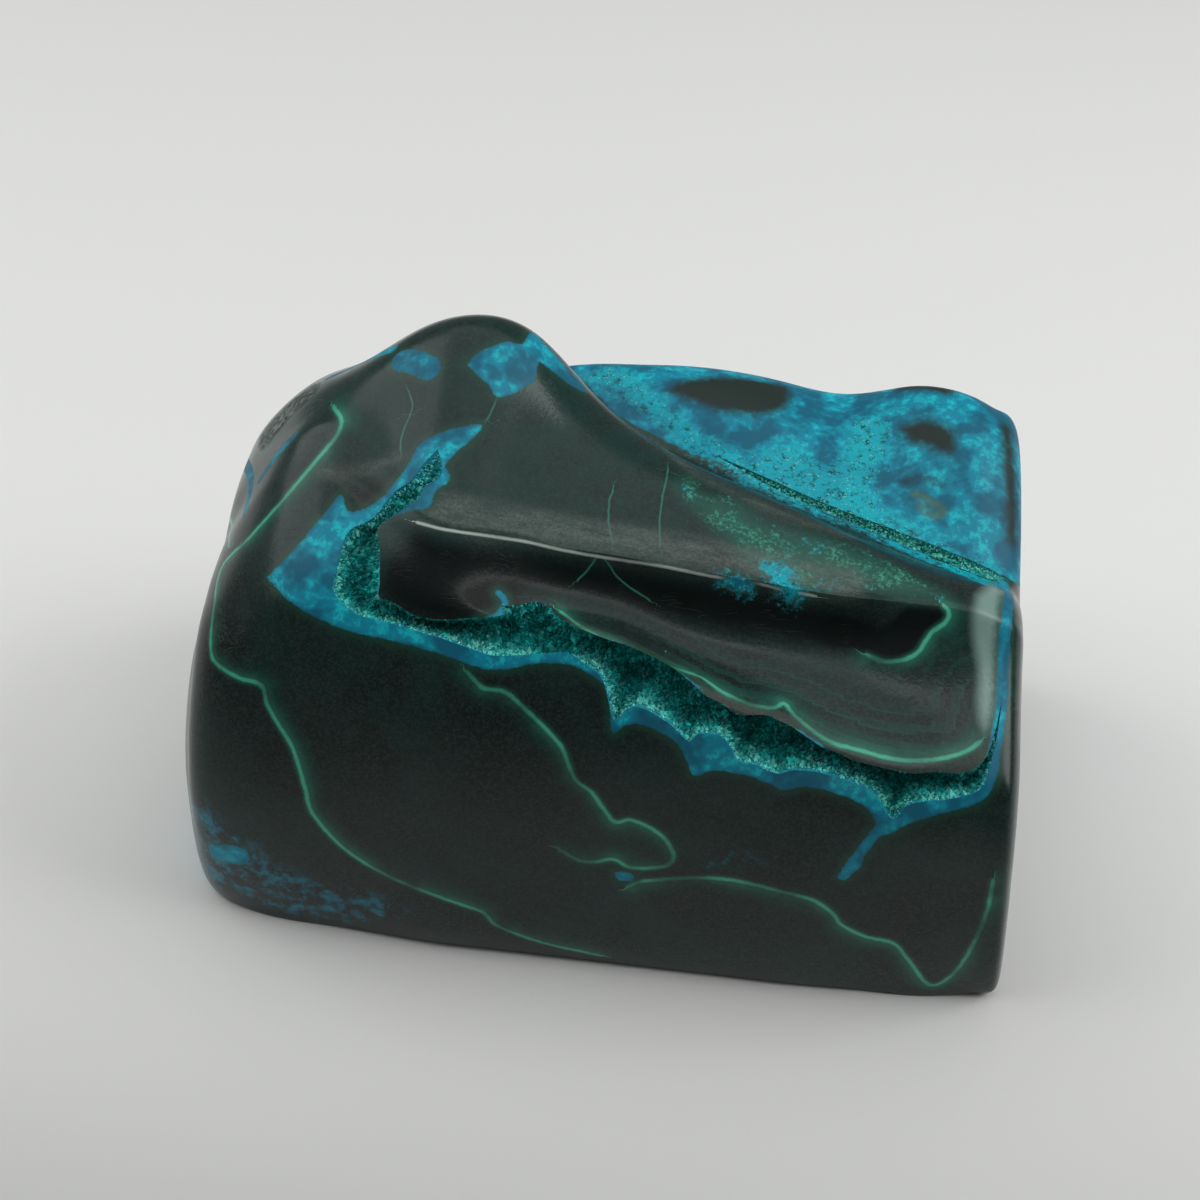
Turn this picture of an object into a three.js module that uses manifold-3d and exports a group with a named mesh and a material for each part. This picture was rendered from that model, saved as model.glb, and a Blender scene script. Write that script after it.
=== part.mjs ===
// A polished freeform of malachite and chrysocolla: one stone, flat underneath, with a ground scoop
// along its front, a druse-lined vug under the scoop's lip and a narrow vug behind its crest.
// Millimetres, +Z up, +X along the stone. The origin is on the ground under the middle of the stone.

import * as THREE from "three";
import { NURBSSurface } from "three/addons/curves/NURBSSurface.js";
import { ParametricGeometry } from "three/addons/geometries/ParametricGeometry.js";
import { mergeVertices } from "three/addons/utils/BufferGeometryUtils.js";
import Module from "manifold-3d";

// Rails run along the stone, each a list of [x, y, z] knots with straight runs between them.
// In this order they go once round it: up the front, over the top, down the back and underneath.
const RAILS = {
  frontFoot: [[-38, -23.6, 1.2], [-32, -25.2, 1.2], [-14, -26.7, 1.2], [24, -26.9, 1.2], [37, -26.4, 1.2]],
  frontLow: [[-38, -24.6, 8], [-32, -26.2, 8], [-14, -27.6, 8], [24, -27.8, 8], [37, -27, 8]],
  frontMid: [[-38, -24.4, 18], [-32, -25.8, 19], [-14, -27, 19], [24, -27.4, 17], [37, -26.6, 16]],
  frontHigh: [[-38, -21, 27], [-32, -22.8, 29.5], [-14, -25, 30], [4, -26, 28.5], [37, -26, 23]],
  mouth: [[-38, -16.7, 32.4], [-32, -18.2, 37], [-26, -19.2, 39.4], [-14, -20.8, 38.2], [-8, -21.6, 37.5],
    [4, -23.5, 35], [10, -24.8, 31.8], [17, -25.4, 29.6], [37, -24.8, 26.8]],
  lip: [[-38, -13.2, 34.4], [-32, -13.9, 41], [-26, -14.5, 43.8], [-14, -18.7, 41.2], [-8, -19.6, 40.6],
    [4, -21.2, 40.2], [10, -22.6, 37.4], [17, -23.4, 34.6], [24, -23.8, 32.2], [31, -24.2, 30.4],
    [37, -23.2, 29.4]],
  scoopOuter: [[-38, -10.7, 35.4], [-32, -10.9, 42.8], [-26, -11.8, 45.6], [-14, -17.2, 42.7],
    [-8, -17.6, 41.4], [4, -17.6, 39], [10, -18.2, 36.8], [17, -18.6, 34.8], [24, -18.8, 33.4],
    [31, -19, 32.4], [37, -18.6, 32.2]],
  scoopInner: [[-38, -8.2, 36], [-32, -8.1, 44.4], [-26, -9.2, 47], [-14, -15.7, 44.1], [-8, -15.6, 42.4],
    [4, -14.8, 39.2], [10, -14.8, 37.6], [17, -14.6, 36.2], [24, -14.4, 35.4], [37, -13.6, 35.6]],
  scoopWall: [[-38, -6.8, 36.2], [-32, -6.5, 45.2], [-26, -7.5, 48.1], [-14, -14.4, 45.4],
    [-8, -14, 43.7], [4, -12.9, 41], [10, -12.7, 40], [17, -12.1, 39], [24, -11.9, 38.1],
    [37, -11.2, 38.2]],
  ridge: [[-38, -5.2, 36.4], [-32, -4.9, 45.8], [-26, -5.6, 49], [-14, -13.4, 46.3], [-8, -12.8, 44.8],
    [4, -12, 42.9], [10, -11.8, 41.9], [17, -11.2, 40.8], [24, -11, 39.8], [37, -10.2, 39.2]],
  shoulder: [[-38, -3.2, 37.4], [-32, -3, 46.3], [-26, -3.4, 49.9], [-14, -11.4, 47.6], [-8, -11, 46],
    [4, -10.4, 43.6], [10, -10.2, 42.5], [17, -9.8, 41.3], [24, -9.6, 40.2], [37, -8.9, 39.3]],
  top: [[-38, -0.2, 38.8], [-32, -0.2, 46.6], [-26, -0.2, 50.5], [-14, -2.2, 52.6], [-8, -3.8, 49.3],
    [-2, -4.8, 46.9], [4, -5.2, 45.1], [10, -5.8, 43.6], [17, -6.2, 42.2], [37, -7, 39.2]],
  crest: [[-38, 5.3, 39.6], [-32, 5.3, 46.8], [-26, 5.8, 50.5], [-20, 6.6, 54.6], [-14, 7.2, 56.5],
    [-8, 8, 54.4], [-2, 6.8, 49], [4, 4.4, 45.7], [10, 1.9, 44.1], [17, -0.2, 42.8], [24, -1.9, 41],
    [31, -3, 39], [37, -3.8, 37.9]],
  valley: [[-38, 10.8, 38.2], [-32, 12.3, 44.2], [-20, 14.3, 48.6], [-14, 14.6, 50.2], [-8, 14.2, 47],
    [-2, 12.2, 42], [4, 9.4, 40.4], [10, 7.2, 40.2], [17, 5, 39.4], [24, 3.2, 38.4], [37, 1, 36.4]],
  backSlope: [[-38, 15.8, 31.8], [-32, 17.8, 38.8], [-20, 19.4, 42.4], [-14, 19.6, 43.4], [-8, 18.8, 42],
    [-2, 17.2, 41.6], [4, 15.8, 42.3], [10, 14.6, 42.7], [17, 13.4, 41.8], [24, 12.6, 40.4],
    [37, 10.3, 41.4]],
  backCrest: [[-38, 19.2, 25], [-32, 21.8, 30], [-20, 23.7, 36], [-14, 23.6, 38.2], [-8, 22.8, 41],
    [-2, 21.9, 42.7], [10, 21.5, 43.1], [17, 21.3, 42], [22, 21.2, 39.9], [31, 21.1, 43], [37, 20.3, 43.2]],
  backHigh: [[-38, 21.8, 20], [-32, 24.6, 23.4], [-14, 26.6, 29.5], [4, 26, 37], [31, 25.7, 36.5],
    [37, 24.6, 35.5]],
  backMid: [[-38, 22.8, 14], [-32, 25.8, 15.5], [-14, 27.8, 18.5], [31, 27.2, 22], [37, 26.4, 22]],
  backLow: [[-38, 22.6, 8], [-32, 25.6, 8], [-14, 27.4, 8.5], [31, 26.8, 9.5], [37, 25.8, 9.5]],
  backFoot: [[-38, 21.2, 2], [-32, 24.2, 1.6], [-14, 26, 1.6], [31, 25.6, 1.6], [37, 24.6, 1.6]],
  baseBack: [[-38, 15.8, -2], [-32, 17.8, -2.5], [37, 17.8, -2.5]],
  baseMid: [[-38, -0.7, -3], [37, -0.7, -3]],
  baseFront: [[-38, -18.2, -1.6], [-32, -20.7, -2], [37, -21.2, -2]],
};

// The places along X where the rails are read.
const STATIONS = [-38, -32, -26, -20, -14, -8, -2, 4, 10, 17, 24, 31, 37];

// The rings that close each end: the last section shrunk about a centre, at its own x. A ring holds its x
// and how far it is shrunk in depth and in height. The foot of an end leans out past its centre.
const LEFT_END = {
  y: -2.2,
  z: 9,
  lean: -0.5,
  rings: [[-43.4, 0, 0], [-43.4, 0.32, 0.32], [-42.7, 0.61, 0.61], [-40.7, 0.845, 0.845]],
};
const RIGHT_END = {
  y: -1.7,
  z: 17,
  lean: 1,
  rings: [[41.6, 0.98, 0.95], [44, 0.92, 0.84], [44.3, 0.5, 0.5], [44.3, 0, 0]],
};

// A vug is a row of cross-sections: the lower and upper edges of its mouth on the skin, and how far its
// deepest place lies from the middle of the mouth. The front vug starts as a crevice on the shoulder,
// turns round the left end of the scoop, runs under its lip and turns up the right end.
const FRONT_VUG = [
  [[-15, -6.3, 49.9], [-15, -6.3, 49.9], [0, 0, 0]],
  [[-16.4, -8.2, 48.6], [-14.2, -8.4, 48.7], [0.6, 0.7, -1.4]],
  [[-18.6, -10.3, 47.2], [-16, -10.8, 47.2], [0.7, 1.1, -1.9]],
  [[-20.6, -12.5, 45.6], [-18, -12.2, 46.2], [0.9, 1.3, -2]],
  [[-23, -14.4, 44.2], [-19.8, -13.6, 44.9], [1.3, 1.9, -2.3]],
  [[-23.5, -16.9, 42.2], [-19.2, -15.6, 43.2], [1.8, 2.3, -2.2]],
  [[-22.6, -18.9, 40.2], [-18.6, -18.4, 40.8], [1.9, 2.9, -1.9]],
  [[-19.4, -19.8, 39.2], [-16.6, -19.2, 40], [1.3, 3.3, -1.7]],
  [[-14.7, -20.5, 38.5], [-13, -19.7, 39.8], [0.4, 3.6, -1.6]],
  [[-11, -21.2, 38], [-9.6, -19.9, 40.3], [0, 3.7, -1.7]],
  [[-7.4, -21.7, 37.4], [-6, -19, 41.8], [0, 3.7, -2]],
  [[-3.5, -21.6, 38], [-3, -17.4, 41.6], [0, 3.7, -2.2]],
  [[0, -21.7, 38.6], [0.5, -19.7, 41.4], [0, 3.7, -2.2]],
  [[4.4, -24.2, 33.8], [5, -21.2, 40], [0, 4, -1.9]],
  [[8.6, -24.1, 34], [9.5, -21.3, 38.1], [0, 4, -1.9]],
  [[12, -24.9, 31.9], [13, -22.8, 36.2], [0, 4.2, -1.6]],
  [[16, -24.8, 32], [16.8, -23.4, 34.7], [0, 4.2, -1.6]],
  [[20.5, -25.4, 29], [21.3, -23, 33.5], [0, 4.3, -1.4]],
  [[26, -25.1, 29.2], [26, -24.1, 31.4], [0, 4.3, -1.4]],
  [[31.7, -25.7, 25.4], [32, -24.2, 30], [-0.4, 4.3, -1.3]],
  [[37.8, -24.3, 27.5], [37.9, -22.9, 29.4], [-1, 3.2, -1.2]],
  [[39.7, -23.5, 28.2], [39.3, -22.1, 29.6], [-1.4, 2.4, -1]],
  [[40.8, -20.2, 30.4], [40.4, -20, 30.8], [-1, 1, -0.8]],
  [[41.3, -15.8, 32.8], [41.3, -15.8, 32.8], [0, 0, 0]],
];

// The back vug is a groove behind the crest that fades out towards the mound.
const BACK_VUG = [
  [[41.6, 0.2, 34.9], [41.6, 0.2, 34.9], [0, 0, 0]],
  [[39.6, 0.7, 35.5], [39.8, -1, 35.9], [-0.3, -0.5, -1.2]],
  [[35.6, 1.5, 36.7], [35.8, -0.2, 36.9], [0, -0.7, -1.4]],
  [[30.4, 3, 37.6], [30.6, 1.3, 37.7], [0, -0.6, -1.3]],
  [[24, 4.8, 38.5], [24.2, 3.4, 38.6], [0, -0.5, -1.1]],
  [[17.5, 7, 39.6], [17.6, 5.9, 39.7], [0, -0.4, -0.8]],
  [[11, 9.4, 40.5], [11, 9.4, 40.5], [0, 0, 0]],
];

// How far a cutter stands outside the skin, how squarely, and how much wider than its mouth a vug
// grows inside.
const CUTTER_REACH = 4.5;
const CUTTER_SQUARENESS = 0.5;
const VUG_SWELL = 0.1;
const VUG_STEPS_ROUND = 12;
const VUG_STEPS_PER_SECTION = 3;

const SURFACE_DEGREE = 3;
const FITTING_PASSES = 12;
const STEPS_ALONG = 54;
const STEPS_ROUND = 56;
const WELD_DISTANCE = 1e-3;

// How far the middle of the stone's box lies along X from the rails' own zero.
const MIDDLE_X = 0.743;

// The flat ground base.
const BASE_CUT = { width: 120, depth: 90, height: 20 };

const STONE_COLOUR = 0x15302c;
const STONE_ROUGHNESS = 0.25;

// Height and depth of a rail at one x.
function railPoint(knots, x) {
  const next = knots.findIndex((knot) => knot[0] >= x);
  if (next <= 0) return new THREE.Vector3(...knots.at(next));
  const from = new THREE.Vector3(...knots[next - 1]);
  const to = new THREE.Vector3(...knots[next]);
  return from.lerp(to, (x - from.x) / (to.x - from.x));
}

// One closing ring: a section shrunk about the middle of its end.
function endRing(section, end, [x, deep, tall]) {
  return section.map((point) => {
    const z = THREE.MathUtils.lerp(end.z, point.z, tall);
    return new THREE.Vector3(x + end.lean * (1 - z / end.z), THREE.MathUtils.lerp(end.y, point.y, deep), z);
  });
}

// All the rings of points that the skin passes through, from the left end to the right.
function skinRings() {
  const rails = Object.values(RAILS);
  const sections = STATIONS.map((x) => rails.map((knots) => railPoint(knots, x)));
  const left = LEFT_END.rings.map((ring) => endRing(sections[0], LEFT_END, ring));
  const right = RIGHT_END.rings.map((ring) => endRing(sections.at(-1), RIGHT_END, ring));
  return [...left, ...sections, ...right];
}

// The value that a cubic spline takes at its middle control point.
function smoothed(before, here, after) {
  return here.clone().multiplyScalar(4).add(before).add(after).divideScalar(6);
}

// Moves control points until the skin passes through the rings. The end points stay.
function fitControls(rings) {
  const round = rings[0].length;
  const controls = rings.map((ring) => ring.map((point) => point.clone()));
  for (let pass = 0; pass < FITTING_PASSES; pass += 1) {
    const along = controls.map((ring, i) => ring.map((point, j) => (
      i === 0 || i === rings.length - 1
        ? point.clone()
        : smoothed(controls[i - 1][j], point, controls[i + 1][j])
    )));
    for (let i = 2; i < rings.length - 2; i += 1) {
      for (let j = 0; j < round; j += 1) {
        const reached = smoothed(along[i][(j + round - 1) % round], along[i][j], along[i][(j + 1) % round]);
        controls[i][j].add(rings[i][j]).sub(reached);
      }
    }
  }
  return controls;
}

// Knots of a uniform cubic whose first and last points are end points.
function clampedKnots(count) {
  const spans = count - SURFACE_DEGREE;
  const inner = Array.from({ length: spans + 1 }, (_, i) => i);
  const start = new Array(SURFACE_DEGREE).fill(0);
  const end = new Array(SURFACE_DEGREE).fill(spans);
  return [...start, ...inner, ...end];
}

// The skin of the stone as a closed mesh.
function skinGeometry() {
  const controls = fitControls(skinRings());
  const round = controls[0].length;
  const wrapped = controls.map((ring) => [...ring, ...ring.slice(0, SURFACE_DEGREE)]);
  const net = wrapped.map((ring) => ring.map((p) => new THREE.Vector4(p.x, p.y, p.z, 1)));
  const roundKnots = Array.from({ length: round + 2 * SURFACE_DEGREE + 1 }, (_, i) => i);
  const surface = new NURBSSurface(SURFACE_DEGREE, SURFACE_DEGREE, clampedKnots(net.length), roundKnots, net);
  const roundStart = SURFACE_DEGREE / (round + 2 * SURFACE_DEGREE);
  const roundShare = round / (round + 2 * SURFACE_DEGREE);
  const place = (u, v, target) => surface.getPoint(v, roundStart + ((1 - u) % 1) * roundShare, target);
  return new ParametricGeometry(place, STEPS_ROUND, STEPS_ALONG);
}

// The cutter for a vug: a lens whose tips are points, half in the stone and half outside it.
function vugGeometry(sections) {
  const [lower, upper, deepest] = [0, 1, 2].map((column) => (
    new THREE.CatmullRomCurve3(sections.map((section) => new THREE.Vector3(...section[column])))
  ));
  const place = (u, v, target) => {
    const angle = 2 * Math.PI * (u % 1);
    const inside = Math.sin(angle);
    const low = lower.getPoint(v);
    const high = upper.getPoint(v);
    const deep = deepest.getPoint(v);
    const across = -Math.cos(angle) * (1 + VUG_SWELL * Math.max(inside, 0));
    target.lerpVectors(low, high, 0.5 + 0.5 * across);
    const reach = CUTTER_REACH * Math.sin(Math.PI * v) * Math.abs(inside) ** CUTTER_SQUARENESS;
    target.add(inside > 0 ? deep.multiplyScalar(inside) : deep.normalize().multiplyScalar(-reach));
  };
  return new ParametricGeometry(place, VUG_STEPS_ROUND, VUG_STEPS_PER_SECTION * (sections.length - 1));
}

// A closed three.js geometry as a manifold solid, its shared vertices merged.
function solidFrom(wasm, geometry) {
  const bare = geometry.clone().deleteAttribute("normal").deleteAttribute("uv");
  const welded = mergeVertices(bare, WELD_DISTANCE);
  const corners = [];
  for (let i = 0; i < welded.index.count; i += 3) {
    const triangle = [welded.index.getX(i), welded.index.getX(i + 1), welded.index.getX(i + 2)];
    if (new Set(triangle).size === 3) corners.push(...triangle);
  }
  return new wasm.Manifold(new wasm.Mesh({
    numProp: 3,
    vertProperties: welded.attributes.position.array,
    triVerts: new Uint32Array(corners),
  }));
}

// A manifold solid as a three.js geometry.
function geometryFrom(solid) {
  const mesh = solid.getMesh();
  const geometry = new THREE.BufferGeometry();
  geometry.setAttribute("position", new THREE.BufferAttribute(mesh.vertProperties, mesh.numProp));
  geometry.setIndex(new THREE.BufferAttribute(mesh.triVerts, 1));
  geometry.computeVertexNormals();
  return geometry;
}

const wasm = await Module();
wasm.setup();

const below = new THREE.BoxGeometry(BASE_CUT.width, BASE_CUT.depth, BASE_CUT.height);
below.translate(0, 0, -BASE_CUT.height / 2);

const cutters = [below, vugGeometry(FRONT_VUG), vugGeometry(BACK_VUG)];
const stone = cutters.reduce(
  (solid, cutter) => solid.subtract(solidFrom(wasm, cutter)),
  solidFrom(wasm, skinGeometry()),
);

const specimen = new THREE.Mesh(
  geometryFrom(stone.translate(-MIDDLE_X, 0, 0)),
  new THREE.MeshStandardMaterial({ color: STONE_COLOUR, roughness: STONE_ROUGHNESS, metalness: 0 }),
);
specimen.name = "specimen";

const part = new THREE.Group();
part.add(specimen);

export default part;
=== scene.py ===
"""A polished freeform of malachite and chrysocolla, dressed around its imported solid.

The stone is one piece. Its skin is a smooth surface through rings of rail points, cut flat underneath
and opened by two vugs. Its markings are strokes drawn on flat sheets and laid on the skin, and the
vugs are lined with thousands of small crystals. Lengths in the fields are millimetres; meshes are metres.
"""

import logging
import math
from dataclasses import dataclass, field
from enum import Enum
from typing import Callable, Sequence

import bpy
import numpy as np
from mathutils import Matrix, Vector, noise
from mathutils.bvhtree import BVHTree


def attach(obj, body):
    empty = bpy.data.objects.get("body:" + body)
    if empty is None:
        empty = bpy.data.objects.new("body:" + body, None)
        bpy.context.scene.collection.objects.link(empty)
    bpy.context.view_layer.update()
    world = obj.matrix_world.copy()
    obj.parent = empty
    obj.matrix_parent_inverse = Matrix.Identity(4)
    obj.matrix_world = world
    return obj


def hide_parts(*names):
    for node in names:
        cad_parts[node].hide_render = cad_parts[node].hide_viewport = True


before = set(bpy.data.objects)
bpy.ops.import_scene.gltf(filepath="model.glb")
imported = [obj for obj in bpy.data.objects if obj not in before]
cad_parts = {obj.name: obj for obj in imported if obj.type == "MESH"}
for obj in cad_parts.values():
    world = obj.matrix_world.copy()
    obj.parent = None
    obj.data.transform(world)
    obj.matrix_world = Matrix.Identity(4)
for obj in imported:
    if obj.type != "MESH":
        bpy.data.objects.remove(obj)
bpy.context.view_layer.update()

MM = 0.001
BODY = "root"
NODE = "specimen"
SEED = 20
STEPS_PER_KNOT = 12
OUTLINE_POINTS = 400
POLISHED, BED, BASE = range(3)  # the stone's material slots
MIDDLE_X = 0.743  # how far the middle of the stone's box lies along x from the rails' own zero

Point2 = tuple[float, float]
Point3 = tuple[float, float, float]
Colour = tuple[float, float, float]

log = logging.getLogger("specimen")


# ---------------------------------------------------------------- shared mesh handling

def start_clean() -> None:
    """Leaves object mode with nothing selected."""
    if bpy.context.object and bpy.context.object.mode != "OBJECT":
        bpy.ops.object.mode_set(mode="OBJECT")
    bpy.ops.object.select_all(action="DESELECT")


def take(piece: bpy.types.Object) -> None:
    """Selects one piece and makes it active."""
    start_clean()
    piece.select_set(True)
    bpy.context.view_layer.objects.active = piece


def newest(name: str) -> bpy.types.Object:
    """Names the object that was just added and returns it."""
    piece = bpy.context.object
    piece.name = name
    piece.data.name = name
    return piece


def corners(piece: bpy.types.Object) -> np.ndarray:
    """Vertex places of a piece in millimetres, one row each."""
    flat = np.empty(len(piece.data.vertices) * 3, dtype=np.float32)
    piece.data.vertices.foreach_get("co", flat)
    return flat.reshape(-1, 3).astype(float) / MM


def place_corners(piece: bpy.types.Object, places: np.ndarray) -> None:
    """Moves the vertices of a piece to places in millimetres."""
    piece.data.vertices.foreach_set("co", (places * MM).astype(np.float32).ravel())
    piece.data.update()


def corner_normals(piece: bpy.types.Object) -> np.ndarray:
    """Vertex normals of a piece, one row each."""
    flat = np.empty(len(piece.data.vertices) * 3, dtype=np.float32)
    piece.data.vertices.foreach_get("normal", flat)
    return flat.reshape(-1, 3).astype(float)


def write_field(piece: bpy.types.Object, name: str, values: np.ndarray) -> None:
    """Stores one number for each vertex under a name that materials read."""
    layer = piece.data.attributes.new(name, "FLOAT", "POINT")
    layer.data.foreach_set("value", values.astype(np.float32))


def outward(piece: bpy.types.Object) -> None:
    """Turns every face of a closed piece outwards.

    Args:
        piece: a closed piece.
    """
    take(piece)
    bpy.ops.object.mode_set(mode="EDIT")
    bpy.ops.mesh.select_all(action="SELECT")
    bpy.ops.mesh.normals_make_consistent(inside=False)
    bpy.ops.object.mode_set(mode="OBJECT")


def centre(piece: bpy.types.Object) -> None:
    """Moves a piece's mesh along x so that the middle of the stone's box comes over the origin."""
    place_corners(piece, corners(piece) - (MIDDLE_X, 0, 0))


def tree_of(piece: bpy.types.Object) -> BVHTree:
    """A search tree over the faces of a piece, in millimetres.

    Args:
        piece: the piece to search.

    Returns:
        The tree.
    """
    places = [Vector(row) for row in corners(piece)]
    faces = [tuple(face.vertices) for face in piece.data.polygons]
    return BVHTree.FromPolygons(places, faces)


def distances(tree: BVHTree, places: np.ndarray) -> np.ndarray:
    """How far each place is from the nearest face of a search tree."""
    return np.array([tree.find_nearest(Vector(place))[3] for place in places])


def toward_eye(azimuth: float, elevation: float) -> Point3:
    """The direction towards an eye, from two angles in degrees.

    Args:
        azimuth: the side it looks from; 0 is the front.
        elevation: how far above the level it is.

    Returns:
        The direction.
    """
    turn = math.radians(azimuth)
    rise = math.radians(elevation)
    return (math.sin(turn) * math.cos(rise), -math.cos(turn) * math.cos(rise), math.sin(rise))


def chain(points: np.ndarray) -> np.ndarray:
    """The straight pieces between points in a row, each its two end points."""
    return np.stack([points[:-1], points[1:]], axis=1)


def smooth_curve(knots: Sequence[Sequence[float]], count: int) -> np.ndarray:
    """Points spread evenly along a smooth curve that passes through its knots.

    Args:
        knots: the places that the curve passes through, in two or three dimensions.
        count: how many points to return.

    Returns:
        The points, one row each.
    """
    rows = np.array(knots, dtype=float)
    rows = np.vstack([2 * rows[:1] - rows[1:2], rows, 2 * rows[-1:] - rows[-2:-1]])
    fine = []
    t = np.linspace(0, 1, STEPS_PER_KNOT, endpoint=False)[:, None]
    for before, start, stop, after in zip(rows, rows[1:], rows[2:], rows[3:]):
        leave = (stop - before) / 2
        arrive = (after - start) / 2
        span = np.linalg.norm(stop - start)
        leave *= min(1.0, span / max(np.linalg.norm(leave), 1e-9))
        arrive *= min(1.0, span / max(np.linalg.norm(arrive), 1e-9))
        fine.append(
            (2 * t**3 - 3 * t**2 + 1) * start + (t**3 - 2 * t**2 + t) * leave
            + (3 * t**2 - 2 * t**3) * stop + (t**3 - t**2) * arrive
        )
    fine.append(rows[-2:-1])
    line = np.vstack(fine)
    run = np.concatenate([[0], np.cumsum(np.linalg.norm(np.diff(line, axis=0), axis=1))])
    along = np.linspace(0, run[-1], count)
    return np.stack([np.interp(along, run, column) for column in line.T], axis=1)


# ---------------------------------------------------------------- the skin

@dataclass
class EndCap:
    """The rings that close one end: the last section shrunk about a centre.

    Attributes:
        y: depth of the centre.
        z: height of the centre.
        lean: how far the foot of the end leans out past its centre.
        rings: each ring's x and how far it is shrunk in depth and in height.
    """

    y: float
    z: float
    lean: float
    rings: list[Point3]


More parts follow.
